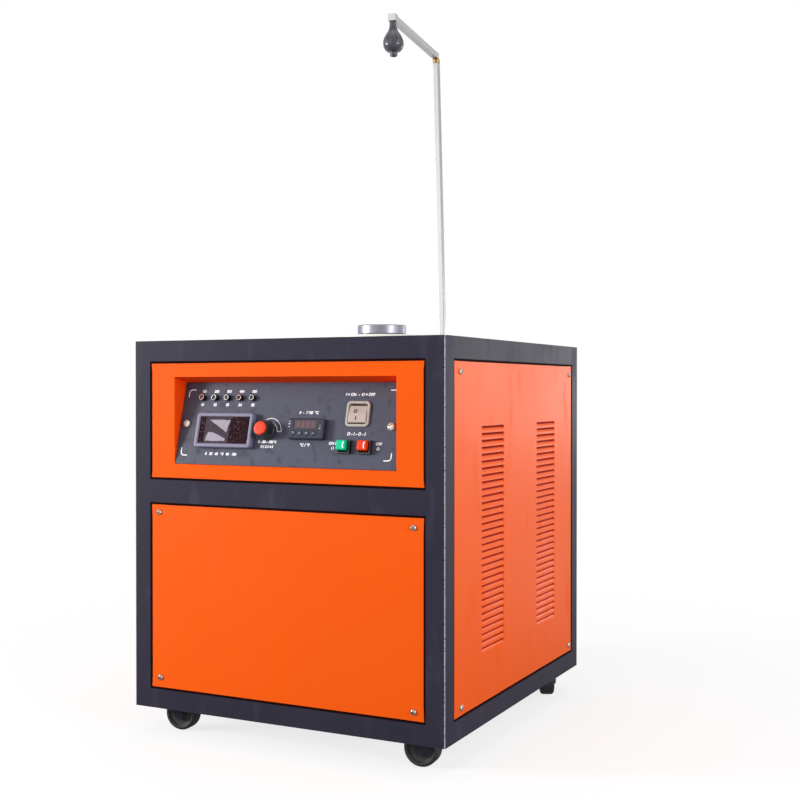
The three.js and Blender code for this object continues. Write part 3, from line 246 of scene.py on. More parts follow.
def in_louvre(coat):
    """1 on the louvres' flaps, which lie deeper than the side sheets are thick; painted dark red
    shade goes there. The sheets' own flanges, past the louvres' reach to the front and rear,
    are left out."""
    x, y, _ = coat.parts(coat.place)
    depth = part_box("side_panel_right")[1][0] - x.size()
    past = (y - LOUVRE_MIDDLE).size().between(LOUVRE_REACH - 0.01, LOUVRE_REACH)
    return depth.between(0.0016, 0.002) * (1 - past)


RECESS_TOP = 0.5274


def in_recess(coat):
    """1 on the walls round the control plate, which lie behind the console's front; there the coat gets painted
    light, a brighter, deeper orange, as of light bounced between the walls.
    """
    _, y, _ = coat.parts(coat.place)
    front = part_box("console_fascia")[0][1]
    return (y - front).between(0.0006, 0.002)


def under_head(coat):
    """1 on the recess's upper wall, which gets painted dark shade."""
    _, _, z = coat.parts(coat.place)
    return in_recess(coat) * z.between(RECESS_TOP - 0.0012, RECESS_TOP - 0.0002)


def highlight_corner_mask(coat):
    """1 within a millimetre of the front legs' outer corner lines, broken up by noise: where a highlight is
    painted.
    """
    x, y, _ = coat.parts(coat.place)
    (_, front, _), (outer, _, _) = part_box("front_frame")
    beside, before = x.size() - outer, y - front
    distance = (beside * beside + before * before) ** 0.5
    return (1 - distance.between(0.0008, 0.002)) * coat.noise(420, 3).between(0.3, 0.5)


ORANGE, ORANGE_SHADOW = (0.93, 0.112, 0.004), (0.86, 0.096, 0.003)
# The first colour below is painted dark red shade in the louvres' flaps, the second is painted shade on the
# console recess's upper wall, and the third is painted light on the recess's other walls.
LOUVRE_PAINTED_SHADE, UPPER_WALL_PAINTED_SHADE, RECESS_PAINTED_LIGHT = (0.36, 0.006, 0.0003), (0.48, 0.009, 0.0004), (1, 0.07, 0.002)
# The black coat's light grey corner colour is a painted highlight along the front legs' corners.
black_coat = powder_coat("black_powder_coat", (0.022, 0.02, 0.034), (0.046, 0.042, 0.068), 0.46,
                         0.00012, 0.7, 0.08, painted_highlight=(0.6, 0.58, 0.63))
orange_coat = powder_coat("orange_powder_coat", ORANGE, ORANGE_SHADOW, 0.37, 9e-5, 0.12, 0.09,
                          painted_light_and_shade=[(LOUVRE_PAINTED_SHADE, in_louvre, 0.9)])
# The console's coat paints light on the walls of its recess and shade on its upper wall.
console_coat = powder_coat("console_powder_coat", ORANGE, ORANGE_SHADOW, 0.42, 9e-5, 0.12, 0.05,
                           painted_light_and_shade=[(RECESS_PAINTED_LIGHT, in_recess, 0), (UPPER_WALL_PAINTED_SHADE, under_head, 0)])


# %% [markdown]
# ## The console's face
#
# The control plate is a slate-grey coat with a matt, slightly blotched surface: small
# darker specks from handling show in the light. Voronoi cells that are cut off near their
# points make specks, and a noise decides where they gather.


# %% Slate coat
coat = Finish("slate_coat")
gather = coat.noise(24, 4).between(0.48, 0.66)
specks = (1 - coat.cells(420).between(0.1, 0.3)) * gather
blotch = coat.noise(70, 5).between(0.55, 0.72)
tint = coat.blend((0.066, 0.067, 0.101), (0.024, 0.025, 0.042), specks * 0.85 + blotch * 0.5)
rough = 0.5 + blotch * 0.12 - specks * 0.1
slate_coat = coat.done(tint, rough, coat.noise(1500), 6e-5, Specular_IOR_Level=0.25)


# %% [markdown]
# ## Metals
#
# Drawn and brushed bars have streaks along their length, so their noise is stretched far
# in one direction. A turned lid has rings about its axis instead: the sine of the distance
# from the axis. Both go into roughness and a very shallow bump.


# %% Brushed, turned and cast metals
def metal(name, colour, roughness, stretch=(1, 1, 1), scale=300, tarnish=0.3):
    bare = Finish(name)
    streak = bare.noise(scale, 4, bare.moved(stretch=stretch))
    cloud = bare.noise(25, 4)
    dark = tuple(channel * 0.62 for channel in colour)
    tint = bare.blend(colour, dark, cloud * tarnish + streak * 0.25)
    rough = roughness + (streak - 0.5) * 0.22 + (cloud - 0.5) * 0.1
    return bare.done(tint, rough, streak, 3e-5, Metallic=1)


def turned_metal(name, colour, roughness, centre, pitch):
    bare = Finish(name)
    x, y, _ = bare.parts(bare.moved(centre))
    distance = (x * x + y * y) ** 0.5
    ring = (distance * (2 * np.pi / pitch)).wave() * 0.5 + 0.5
    grain = bare.noise(160, 4)
    dark = tuple(channel * 0.6 for channel in colour)
    tint = bare.blend(colour, dark, ring * 0.25 + grain * 0.35)
    rough = roughness + ring * 0.1 + (grain - 0.5) * 0.15
    return bare.done(tint, rough, ring, 2e-5, Metallic=1)


stainless = metal("brushed_stainless", (0.41, 0.408, 0.405), 0.4, (1, 1, 0.05))
arm_steel = metal("brushed_arm", (0.49, 0.47, 0.478), 0.42, (1, 0.05, 1))
zinc = metal("zinc_plate", (0.55, 0.56, 0.58), 0.38)
screw_steel = metal("screw_steel", (0.5, 0.46, 0.42), 0.36, scale=900, tarnish=0.6)
# A lighter copy of the screw steel: painted light for the console's screws, which sit in the recess's shade.
painted_light_screw_steel = metal("lighter_screw_steel_painted_light", (0.86, 0.82, 0.74), 0.44, scale=900, tarnish=0.4)
brass = metal("turned_brass", (0.42, 0.27, 0.09), 0.34)
copper = metal("copper_tube", (0.68, 0.3, 0.17), 0.3)
aluminium = metal("milled_aluminium", (0.6, 0.61, 0.63), 0.42)
galvanised = metal("galvanised_sheet", (0.5, 0.52, 0.54), 0.5, scale=90)


# %% [markdown]
# ## Plastics, rubber and stone
#
# Moulded plastic is one colour through and through. What tells it from paint is a sharper
# highlight and a fine spark-eroded texture from the mould. Rubber is the same idea, dull
# and dusty. Refractory board is chalk white with small pits, and graphite is a soft dark
# grey that shines a little where it has been rubbed.


# %% Moulded and mineral finishes
DUST = (0.07, 0.068, 0.065)


def moulded(name, colour, roughness, texture=3e-5, dust=0, gloss=0.5):
    """Texture is the depth of the mould's grain in metres, and dust is how much lies on it."""
    plastic = Finish(name)
    cloud = plastic.noise(40, 3)
    settle = plastic.noise(120, 5).between(0.45, 0.75) * dust
    tint = plastic.blend(colour, tuple(channel * 0.8 for channel in colour), cloud * 0.5)
    tint = plastic.blend(tint, DUST, settle)
    rough = roughness + (cloud - 0.5) * 0.1 + settle * 0.3
    return plastic.done(tint, rough, plastic.noise(1800), texture, Specular_IOR_Level=gloss)


def mineral(name, colour, dark, roughness, metallic, pits):
    """Pits is how dark and how deep the small holes are, from 0 to 1."""
    stone = Finish(name)
    grain = stone.noise(220, 6, roughness=0.65)
    pit = 1 - stone.cells(260).between(0.12, 0.32)
    rub = stone.noise(18, 4).between(0.4, 0.7)
    tint = stone.blend(colour, dark, grain * 0.35 + pit * pits)
    return stone.done(tint, roughness - rub * 0.12, grain - pit * 0.6 * pits, 0.00025,
                      Metallic=metallic)


black_plastic = moulded("black_moulding", (0.012, 0.012, 0.014), 0.38)
gloss_black = moulded("gloss_black_moulding", (0.02, 0.018, 0.036), 0.25, 1e-5, gloss=0.8)
lilac_plastic = moulded("lilac_grey_moulding", (0.185, 0.173, 0.262), 0.4)
beige_plastic = moulded("beige_moulding", (0.47, 0.42, 0.355), 0.42)
paddle_plastic = moulded("warm_beige_moulding", (0.52, 0.41, 0.355), 0.42)
red_plastic = moulded("red_cap", (0.93, 0.058, 0.016), 0.36, 1e-5, gloss=0.25)
red_lens = moulded("red_button", (0.88, 0.045, 0.003), 0.28, 1e-5, gloss=0.2)
green_lens = moulded("green_button", (0.002, 0.64, 0.31), 0.28, 1e-5, gloss=0.2)
key_plastic = moulded("slate_key", (0.035, 0.038, 0.066), 0.4, gloss=0.2)
slate_plastic = moulded("controller_moulding", (0.026, 0.026, 0.045), 0.4, gloss=0.25)
rubber = moulded("black_rubber", (0.012, 0.012, 0.013), 0.62, 8e-5, 0.25)
white_print = moulded("white_print", (0.95, 0.95, 0.97), 0.55)
pale_print = moulded("pale_print", (0.46, 0.47, 0.62), 0.55)
dark_print = moulded("dark_print", (0.01, 0.009, 0.01), 0.5, gloss=0.2)
refractory = mineral("white_refractory", (0.86, 0.85, 0.82), (0.66, 0.64, 0.6), 0.92, 0, 0.5)
graphite = mineral("graphite", (0.075, 0.075, 0.08), (0.03, 0.03, 0.033), 0.5, 0.5, 0.3)
lid_centre = tuple(np.add(*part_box("crucible_lid")) / 2)
lid_steel = turned_metal("turned_lid_steel", (0.27, 0.262, 0.315), 0.36, lid_centre, 0.0011)

# %% [markdown]
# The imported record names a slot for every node, so the finishes go on by slot.

# %% Finishes on the nodes
slot_finish = {
    "black_paint": black_coat, "orange_paint": orange_coat, "slate_paint": slate_coat,
    "galvanised": galvanised, "refractory": refractory, "graphite": graphite,
    "lid_steel": lid_steel, "copper": copper, "aluminium": aluminium,
    "black_plastic": black_plastic, "grey_plastic": lilac_plastic, "red_plastic": red_plastic,
    "green_plastic": green_lens, "beige_plastic": beige_plastic, "dark_window": black_plastic,
    "lamp_metal": zinc, "stainless": stainless, "zinc": zinc, "brass": brass, "rubber": rubber,
}
slots = {part["node"]: part["material_slot"] for part in frame["record"]["subparts"]}
for name, slot in slots.items():
    for place in nodes[name].material_slots:
        place.material = slot_finish[slot]
for name, finish in (("probe_arm", arm_steel), ("temp_controller", slate_plastic),
                     ("console_fascia", console_coat)):
    nodes[name].material_slots[0].material = finish
print("finishes on", len(nodes), "nodes")


# %% [markdown]
# ## Surfaces from arrays
#
# A shape here is a grid of points: one direction runs round the piece and the other runs
# along its profile. Neighbouring points become quads, and points that fall together, such
# as those at a pole, are merged. Profiles are drawn with sharp corners and then rounded:
# each corner gives way to a short curve with a support point on either side, so that the
# flats keep a flat shade. Shapes are drawn in millimetres and put in place in metres.


# %% Mesh helpers
def grid_quads(rows, columns):
    """Quads between neighbours of a grid that closes on itself along its rows."""
    start = np.arange(rows - 1)[:, None] * columns
    here = np.arange(columns)[None, :]
    following = (here + 1) % columns
    corners = [start + here, start + following, start + columns + following, start + columns + here]
    return np.stack(corners, -1).reshape(-1, 4)


def given_body(name, mesh, finish, body):
    """An object at the origin that rides on a body."""
    mesh.materials.clear()
    mesh.materials.append(finish)
    piece = added(name, mesh)
    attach(piece, body)
    return piece


def surface(name, points, quads, finish, body, replaces=None, crease=40):
    """A piece from points in metres and quads, merged, turned outwards and given its body.
    A piece that replaces a node hides that node."""
    mesh = bpy.data.meshes.new(name)
    mesh.from_pydata(np.asarray(points).reshape(-1, 3), [], quads.tolist())
    work = bmesh.new()
    work.from_mesh(mesh)
    bmesh.ops.remove_doubles(work, verts=work.verts, dist=1e-6)
    bmesh.ops.dissolve_degenerate(work, edges=work.edges, dist=1e-7)
    bmesh.ops.recalc_face_normals(work, faces=work.faces)
    work.to_mesh(mesh)
    work.free()
    mesh.shade_smooth()
    mesh.set_sharp_from_angle(angle=np.radians(crease))
    piece = given_body(name, mesh, finish, body)
    if replaces:
        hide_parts(replaces)


def rounded(profile, radius, steps=3):
    """Each inner corner P gives way to the curve (1-t)^2 A + 2t(1-t) P + t^2 C, where A and C
    lie on its two sides at the radius or at two fifths of the side, and a support point
    follows on each side."""
    corner = np.asarray(profile, float)
    inner = corner[1:-1]
    sides = []
    for other in (corner[:-2], corner[2:]):
        along = other - inner
        length = np.linalg.norm(along, axis=1, keepdims=True)
        cut = along / length * np.minimum(radius, 0.4 * length)
        sides.append((inner + cut, inner + cut * 1.2))
    (near, near_support), (far, far_support) = sides
    t = np.linspace(0, 1, steps + 1)[None, :, None]
    curve = (1 - t) ** 2 * near[:, None] + 2 * t * (1 - t) * inner[:, None] + t**2 * far[:, None]
    whole = np.concatenate([near_support[:, None], curve, far_support[:, None]], 1).reshape(-1, 2)
    return np.concatenate([corner[:1], whole, corner[-1:]])


def frame_of(centre, out, up):
    """Three directions at a place: across, up and out, each of length one."""
    out = np.asarray(out, float) / np.linalg.norm(out)
    across = np.cross(up, out)
    across /= np.linalg.norm(across)
    return np.asarray(centre, float), across, np.cross(out, across), out


def placed(points, where):
    """Points given as across, up and out in millimetres, put at a place in metres."""
    centre, across, up, out = where
    shift = points[..., :1] * across + points[..., 1:2] * up + points[..., 2:] * out
    return centre + shift * MM


def turned(name, profile, where, finish, body, steps=64, wave=None, **more):
    """A profile of (radius, height) carried round the out direction of a place. wave(angle,
    radius, height) may change the radius."""
    angle = np.linspace(0, 2 * np.pi, steps, endpoint=False)
    radius, height = np.asarray(profile, float).T[:, :, None] * np.ones(steps)
    if wave:
        radius = wave(angle, radius, height)
    points = np.stack([radius * np.cos(angle), radius * np.sin(angle), height], -1)
    quads = grid_quads(len(profile), steps)
    surface(name, placed(points, where), quads, finish, body, **more)


def rounded_rectangle(width, height, corner):
    """Points round a rectangle whose corners are quarter circles: each quarter's centre is
    at half the width and height less the corner radius."""
    angle = (np.arange(4)[:, None] + np.linspace(0, 1, 9)) * np.pi / 2
    side = np.array([[1, 1], [-1, 1], [-1, -1], [1, -1]])[:, None, :]
    middle = side * (np.array([width, height]) / 2 - corner)
    ring = middle + corner * np.stack([np.cos(angle), np.sin(angle)], -1)
    return ring.reshape(-1, 2)


def framed(name, width, height, corner, profile, where, finish, body, **more):
    """A profile of (inset, height) carried round a rounded rectangle. The ends are closed
    to the middle."""
    rings = []
    for inset, level in profile:
        radius = max(corner - inset, 0.15)
        ring = rounded_rectangle(width - 2 * inset, height - 2 * inset, radius)
        rings.append(np.column_stack([ring, np.full(len(ring), level)]))
    points = np.array([rings[0] * (0, 0, 1), *rings, rings[-1] * (0, 0, 1)])
    quads = grid_quads(len(points), points.shape[1])
    surface(name, placed(points, where), quads, finish, body, **more)


print("a ring of 4 by 6 points has", len(grid_quads(4, 6)), "quads")


# %% [markdown]
# ## Where the console is
#
# The console leans back from the front sheet. Everything on it is placed by how far it is
# across from the middle, how far up the slope from its foot, and how far out.

# %% The slope
LEAN = np.radians(13.84)
FOOT = np.array([0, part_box("console_fascia")[0][1], 0.4007])
SLOPE_UP = np.array([0, np.sin(LEAN), np.cos(LEAN)])
SLOPE_OUT = np.array([0, -np.cos(LEAN), np.sin(LEAN)])


def on_slope(across, up, out=0):
    """A place on the control plate, in millimetres from its foot's middle."""
    centre = FOOT + np.array([across * MM, 0, 0]) + SLOPE_UP * up * MM + SLOPE_OUT * out * MM
    return frame_of(centre, SLOPE_OUT, SLOPE_UP)


print("the slope's foot is at", FOOT)

# %% [markdown]
# ## The current meter
#
# A panel meter is a deep box behind the plate with a broad moulded bezel in front. The
# bezel's edge is rounded over, and the window is sunk a little. One profile runs from the
# back of the box, round the bezel and down into the window.


# %% Meter bezel
meter_at = on_slope(-98, 50.2)
bezel_profile = [[5, -42], [4, -41], [4, 0.3], [0, 0.3], [0, 7.9], [1.1, 9], [4.9, 9],
                 [5.9, 8.3], [5.9, 5]]
framed("meter_bezel", 96.8, 50.8, 5, rounded(bezel_profile, 0.9), meter_at, lilac_plastic,
       "cabinet", replaces="meter_body")


# %% [markdown]
# The window is a dark maroon filter. Its left half is painted a hazy lighter tone with
# two slanted pale grey areas on it: painted reflections. Small bubbles and dust specks lie
# on it, and most of them lie in two upright bands beside the hazy half.


# %% Meter window
def filter_window():
    """The painted reflections' edges are straight lines: a x + b y + c is positive inside
    each. Lengths are in millimetres from the window's middle."""
    window = Finish("maroon_window_with_painted_reflections")
    across, _, up = window.parts(window.moved(tuple(meter_at[0])))
    across, up = across * 1000, up * (1000 / np.cos(LEAN))
    wander = (window.noise(160, 3) - 0.5) * 3

    def inside(a, b, c):
        return (across * a + up * b + c + wander).between(-0.5, 0.5)

    hazy_reflection = inside(1, 0, 33) * inside(-1, 0.05, 9)
    upper = inside(0.575, 1, -1.2) * inside(-1, 0.274, 4.5) * inside(0, -1, 16.5)
    lower = (inside(0, -1, -1.6) * inside(-0.37, -1, -8.8) * inside(1, -0.29, 26.5)
             * inside(0, 1, 14.2) * inside(-1, 0.05, 4))
    pale_reflections = upper.over(lower)
    grain = window.noise(420, 4)
    bubbles = 1 - window.cells(620).between(0.12, 0.26)
    off_bands = (across - 17).size().between(4, 12) * (across + 37).size().between(2, 7)
    gather = window.noise(300, 3).between(0.46, 0.56) * (1 - off_bands * 0.7)
    maroon, hazy, pale, dust = ((0.017, 0.0016, 0.0055), (0.075, 0.055, 0.072), (0.44, 0.4, 0.48),
                                (0.85, 0.55, 0.6))
    # The hazy tone on the left half and the pale areas over it are painted reflections.
    tint = window.blend(maroon, hazy, hazy_reflection * (0.45 + grain * 0.4))
    tint = window.blend(tint, pale, pale_reflections * (0.7 + grain * 0.3))
    tint = window.blend(tint, dust, bubbles * gather * 0.9)
    reflection_share = hazy_reflection * 0.4 + pale_reflections * 0.6
    return window.done(tint, 0.2 + reflection_share * 0.3, reflection_share, 8e-5, Specular_IOR_Level=0.08)


glass = [[0.3, 5.3], [0.3, 6.8], [1.2, 6.9], [6, 6.9]]
framed("window_of_meter", 85, 39, 0.8, glass, meter_at, filter_window(), "cabinet",
       replaces="meter_window")

# %% [markdown]
# ## The power knob
#
# The knob is a fluted grip on a round skirt. The flutes are a cosine on the radius that
# fades out at both ends of the grip. Its red cap is a separate, slightly domed disc.

# %% Knob and cap
KNOB = (-30, 52)
knob_at = on_slope(*KNOB)
GRIP_FOOT, GRIP_HEAD, GRIP_RIM = 3.6, 17.4, 10.95
grip = [[0, -14], [3, -14], [3, 0.3], [14.5, 0.3], [14.5, 2.6], [13.2, 3.6], [11.4, 17.2],
        [10.4, 17.2], [10.4, 15.7], [0, 15.7]]


def flutes(angle, radius, height):
    """The radius less a cosine of eighteen waves, which fades out at the grip's two ends."""
    fade = np.clip((height - GRIP_FOOT) / 1.5, 0, 1) * np.clip((GRIP_HEAD - height) / 1.5, 0, 1)
    return radius - (radius > GRIP_RIM) * 0.55 * fade * (0.5 + 0.5 * np.cos(18 * angle))


turned("fluted_knob", rounded(grip, 0.4), knob_at, black_plastic, "knob", 144, flutes,
       replaces="power_knob")
cap = [[0, 16], [9.6, 16], [9.6, 18.6], [9, 19.7], [5, 20], [0, 20.05]]
turned("red_knob_cap", rounded(cap, 0.7), knob_at, red_plastic, "knob", replaces="knob_cap")

# %% [markdown]
# ## Lamps
#
# Each indicator lamp is a short black barrel with a thin bright ring on its front and a
# small lens sunk in it. The lenses are dark when the lamps are off, and only their tint
# differs.

# %% Indicator lamps
FIRST_LAMP, LAMP_PITCH = -146.6, 21.7
lens_tints = [(0.07, 0.012, 0.01), (0.01, 0.014, 0.02), (0.014, 0.01, 0.012), (0.03, 0.01, 0.01),
              (0.01, 0.01, 0.012)]
ring_tints = [(0.75, 0.36, 0.32), (0.66, 0.72, 0.72), (0.72, 0.68, 0.68), (0.7, 0.5, 0.47),
              (0.72, 0.7, 0.7)]
barrel = [[0, -16], [3.5, -16], [3.5, 0.3], [4.4, 0.3], [4.4, 4.6], [4.1, 5], [3.6, 5],
          [3, 4.2], [3, 3.4], [0, 3.4]]
bright_ring = [[3.1, 4.6], [3.8, 4.6], [3.8, 5.3], [3.65, 5.5], [3.25, 5.5], [3.1, 5.2],
               [3.1, 4.6]]
bead = [[0, 3.1], [2.9, 3.1], [2.9, 3.6], [2.1, 4.3], [1, 4.7], [0, 4.75]]
for number, (lens_tint, ring_tint) in enumerate(zip(lens_tints, ring_tints), 1):
    lamp_at = on_slope(FIRST_LAMP + LAMP_PITCH * (number - 1), 98.9)
    turned(f"lamp_barrel_{number}", rounded(barrel, 0.25, 2), lamp_at, black_plastic, "cabinet", 40,
           replaces=f"lamp_{number}")
    ring_finish = metal(f"lamp_ring_{number}_metal", ring_tint, 0.45)
    turned(f"lamp_ring_{number}", bright_ring, lamp_at, ring_finish, "cabinet", 40)
    lens_finish = moulded(f"lamp_lens_{number}_tint", lens_tint, 0.12, 1e-5)
    turned(f"lamp_lens_{number}", rounded(bead, 0.4), lamp_at, lens_finish, "cabinet", 32)

# %% [markdown]
# ## Rocker switch
#
# The bezel is broad and softly rounded. The paddle's face is worked out as a height over a
# grid: a shallow roof, less a rounding near the rim, with a skirt round it. It rests with
# its upper half pressed in.

# %% Rocker bezel
rocker_at = on_slope(114, 77.2)
rocker_profile = [[3.2, -20], [2.2, -19], [2.2, 0.3], [0, 0.3], [0, 2.2], [0.8, 3], [3.3, 3],
                  [3.9, 2.6], [4.1, -9]]
framed("rocker_surround", 36.6, 36.2, 6.5, rounded(rocker_profile, 0.6), rocker_at, beige_plastic,
       "cabinet", replaces="rocker_bezel")


# %% Rocker paddle
def height_piece(name, width, height, rim, top, bottom, where, finish, body, **more):
    """A block whose face is top(up) and whose rim is rounded by that radius. A grid of 33 by
    33 points is closer at the rim, where it follows a quarter circle."""
    quarter = np.linspace(0, np.pi / 2, 5)
    flat = rim - width / 2 + np.linspace(0, 1, 25)[1:-1] * (width - 2 * rim)
    edge_u = width / 2 - rim * (1 - np.cos(quarter))
    u = np.concatenate([-edge_u, flat, edge_u[::-1]])
    v = u * (height / width)
    edge_drop = rim * (1 - np.sin(quarter))
    drop = np.concatenate([edge_drop, np.zeros(23), edge_drop[::-1]])
    across, up = np.meshgrid(u, v, indexing="ij")
    level = top(up) - np.maximum(drop[:, None], drop[None, :])
    layers = [np.stack([across, up, z], -1) for z in (level, np.full_like(level, bottom))]
    index = np.arange(level.size).reshape(level.shape)
    quads = np.stack([index[:-1, :-1], index[1:, :-1], index[1:, 1:], index[:-1, 1:]], -1)
    quads = quads.reshape(-1, 4)
    edge = np.concatenate([index[:-1, 0], index[-1, :-1], index[:0:-1, -1], index[0, :0:-1]])
    after = np.roll(edge, -1)
    skirt = np.stack([edge, edge + level.size, after + level.size, after], -1)
    whole = np.concatenate([quads, quads[:, ::-1] + level.size, skirt])
    surface(name, placed(np.array(layers), where), whole, finish, body, **more)


TIP, ROOF_SLOPE, RIDGE = np.radians(-7), np.radians(6.8), 7.2
pivot = on_slope(114.5, 76.1, -3)[0]
paddle_up = SLOPE_UP * np.cos(TIP) + SLOPE_OUT * np.sin(TIP)
paddle_out = SLOPE_OUT * np.cos(TIP) - SLOPE_UP * np.sin(TIP)
paddle_at = frame_of(pivot, paddle_out, paddle_up)


def roof(up):
    """A shallow roof: highest along the middle, 1.4 mm lower at its two ends."""
    return RIDGE - np.abs(up) * np.tan(ROOF_SLOPE)


height_piece("rocker_face", 27.6, 24, 0.7, roof, 1.6, paddle_at, paddle_plastic, "rocker",
             replaces="rocker_paddle")


# %% [markdown]
# ## Printed marks
#
# The marks are flat ribbons a few hundredths of a millimetre thick. A ribbon is a path
# with a width: its two edges are the path moved sideways along its normals. Marks that
# would be words are left as plain numbers and signs of the kind any control has.


# %% Ribbons
def ribbon(name, path, width, where, finish, body, thickness=0.06, closed=False):
    """Two edges at half the width on each side of a path, with a top and a bottom."""
    path = np.asarray(path, float)
    if closed:
        step = np.roll(path, -1, 0) - np.roll(path, 1, 0)
    else:
        step = np.gradient(path, axis=0)
    step /= np.linalg.norm(step, axis=1, keepdims=True)
    side = np.column_stack([-step[:, 1], step[:, 0]]) * width / 2
    corners = [np.column_stack([path + hand * side, np.full(len(path), level)])
               for hand, level in ((1, 0), (1, thickness), (-1, thickness), (-1, 0))]
    points = np.stack(corners, 1)
    if closed:
        points = np.concatenate([points, points[:1]])
    quads = grid_quads(len(points), 4)
    if not closed:
        last = 4 * (len(points) - 1)
        quads = np.concatenate([quads, [[3, 2, 1, 0], [last, last + 1, last + 2, last + 3]]])
    surface(name, placed(points, where), quads, finish, body)


def arc(centre, radius, start, stop, steps=16):
    """Points on a circle between two angles in degrees."""
    angle = np.radians(np.linspace(start, stop, steps))
    return np.asarray(centre) + radius * np.column_stack([np.cos(angle), np.sin(angle)])


# %% Corner marks and the knob's scale
plate_at = on_slope(0, 0)
BEND, ARM = 5, 11
corner_path = np.concatenate([[[0, ARM]], arc((BEND, BEND), BEND, 180, 270), [[ARM, 0]]])
for corner_name, place, inward in (
        ("upper_left", (-172.3, 111), (1, -1)), ("upper_right", (171, 111), (-1, -1)),
        ("lower_left", (-172.3, 13.6), (1, 1)), ("lower_right", (171, 13.6), (-1, 1))):
    path = corner_path * inward + place
    ribbon(f"corner_mark_{corner_name}", path, 1.6, plate_at, white_print, "cabinet")

share = np.linspace(0, 1, 40)
angle = np.radians(112 * share - 3)
spoke = np.column_stack([np.cos(angle), np.sin(angle)])
outer_edge = spoke * (24 - 4.5 * share - 5 * share**2)[:, None]
inner_edge = spoke * (17.6 - 6.2 * share)[:, None]
outline = np.concatenate([outer_edge, inner_edge[::-1]]) + KNOB
ribbon("knob_scale", outline, 0.9, plate_at, white_print, "cabinet", closed=True)


# %% [markdown]
# Numbers and signs are set in Blender's own plain typeface and turned into a mesh before
# they are put in place.


# %% Numbers and signs
SIZE_PER_CAPITAL, BOLD, SHEAR = 1.42, 0.3 * MM, 0.12


def sign(name, words, across, up, height):
    """White words with capitals of that height in millimetres, centred on the slope."""
    text = bpy.data.curves.new(name, "FONT")
    text.body, text.size = words, height * MM * SIZE_PER_CAPITAL
    text.align_x, text.align_y = "CENTER", "CENTER"
    text.extrude, text.offset, text.shear = 0.03 * MM, BOLD, SHEAR
    holder = added(name, text)
    bpy.context.view_layer.update()
    mesh = bpy.data.meshes.new_from_object(holder)
    bpy.data.objects.remove(holder)
    points = np.zeros(len(mesh.vertices) * 3)
    mesh.vertices.foreach_get("co", points)
    points = placed(points.reshape(-1, 3) / MM, on_slope(across, up, 0.03))
    mesh.vertices.foreach_set("co", points.ravel())
    given_body(name, mesh, white_print, "cabinet")


for number in range(1, 6):
    across = FIRST_LAMP + 0.6 + LAMP_PITCH * (number - 1)
    sign(f"lamp_number_{number}", f"{number}0{number}", across, 108.6, 3.7)
    sign(f"lamp_low_number_{number}", f"0{number}", across, 88.7, 3.9)
for name, words, across, up, height in (
    ("meter_scale", "0   20   40   60   80   100", -103, 16.5, 3.7),
    ("knob_numbers", "0 - 50 - 100 %", -27, 35.6, 3.7),
    ("knob_low_numbers", "0 1 2 3 4 5", -26.3, 28.7, 3.3),
    ("controller_range", "0  -  1600  °C", 35.5, 78.4, 3.9),
    ("controller_units", "°C / °F", 34.8, 32.3, 4),
    ("rocker_words", "I = ON  -  O = OFF", 113.4, 104.6, 3.9),
    ("rocker_signs", "O - I - O - I", 114.1, 49.3, 4.2),
    ("start_word", "ON I", 78.6, 35.6, 3.7), ("start_sign", "I I", 79.5, 28.8, 3.8),
    ("stop_word", "OFF", 150.3, 36, 3.7), ("stop_sign", "O", 149.7, 29.4, 3.8),
):
    sign(name, words, across, up, height)


def on_paddle(across, up):
    """A place on the paddle's face, in millimetres from its middle."""
    turn = ROOF_SLOPE * np.sign(up)
    face_up = paddle_up * np.cos(turn) - paddle_out * np.sin(turn)
    face_out = paddle_out * np.cos(turn) + paddle_up * np.sin(turn)
    centre = placed(np.array([across, up, roof(up)]), paddle_at)
    return frame_of(centre, face_out, face_up)


ribbon("rocker_mark_off", arc((0, 0), 2.1, 0, 345, 24), 1.5, on_paddle(-3.7, 3.9), dark_print,
       "rocker", closed=True)
ribbon("rocker_mark_on", [[0, -2.4], [0, 2.4]], 1.8, on_paddle(-1.9, -6.2), dark_print, "rocker")

# %% [markdown]
# ## Push buttons and keys
#
# The start and stop caps are square blocks with softened edges and a small white curve on each, a painted
# highlight. The controller's keys are low domes.

# %% Caps and keys
PROUD = 11.6
cap_profile = [[1, -2.5], [0, -2.2], [0, PROUD - 1], [1, PROUD], [3.5, PROUD]]
for name, across, finish in (("start", 97.4, green_lens), ("stop", 129.6, red_lens)):
    framed(f"{name}_cap", 14, 13.6, 1.6, rounded(cap_profile, 0.7), on_slope(across, 32.2),
           finish, name, replaces=f"{name}_button")
    front = on_slope(across, 32.2, PROUD)
    # The white curve on each cap is a painted highlight.
    ribbon(f"{name}_curve", arc((10.7, 0), 7.2, 140, 220), 1.7, front, white_print, name)
dome = [[0, 7], [3.7, 7], [3.7, 9.4], [3.1, 9.8], [0, 9.85]]
KEY_PITCH, KEY_ROW = 10.9, 47.6
key_marks = [[(-1.2, 0.8), (1.2, 0.8), (1.2, -0.8)], [(1.2, -0.9), (0, 0.9), (-1.2, -0.9)],
             [(-1.2, 0.9), (0, -0.9), (1.2, 0.9)], [(-1.2, 0), (1.2, 0)]]
for number, mark in enumerate(key_marks, 1):
    across, body = 35.4 + (number - 2.5) * KEY_PITCH, f"key_{number}"
    turned(f"round_key_{number}", rounded(dome, 0.35), on_slope(across, KEY_ROW), key_plastic, body,
           36, replaces=f"temp_key_{number}")
    ribbon(f"key_mark_{number}", np.array(mark) * 1.4, 0.8, on_slope(across, KEY_ROW, 9.86),
           pale_print, body, 0.03)


# %% [markdown]
# ## The controller's display
#
# A grey-red filter shows a row of four unlit figures. Each figure has seven bars, drawn
# slightly lighter than the filter, as they look with the power off. Small lamps and range
# marks stand in a column on each side of it.


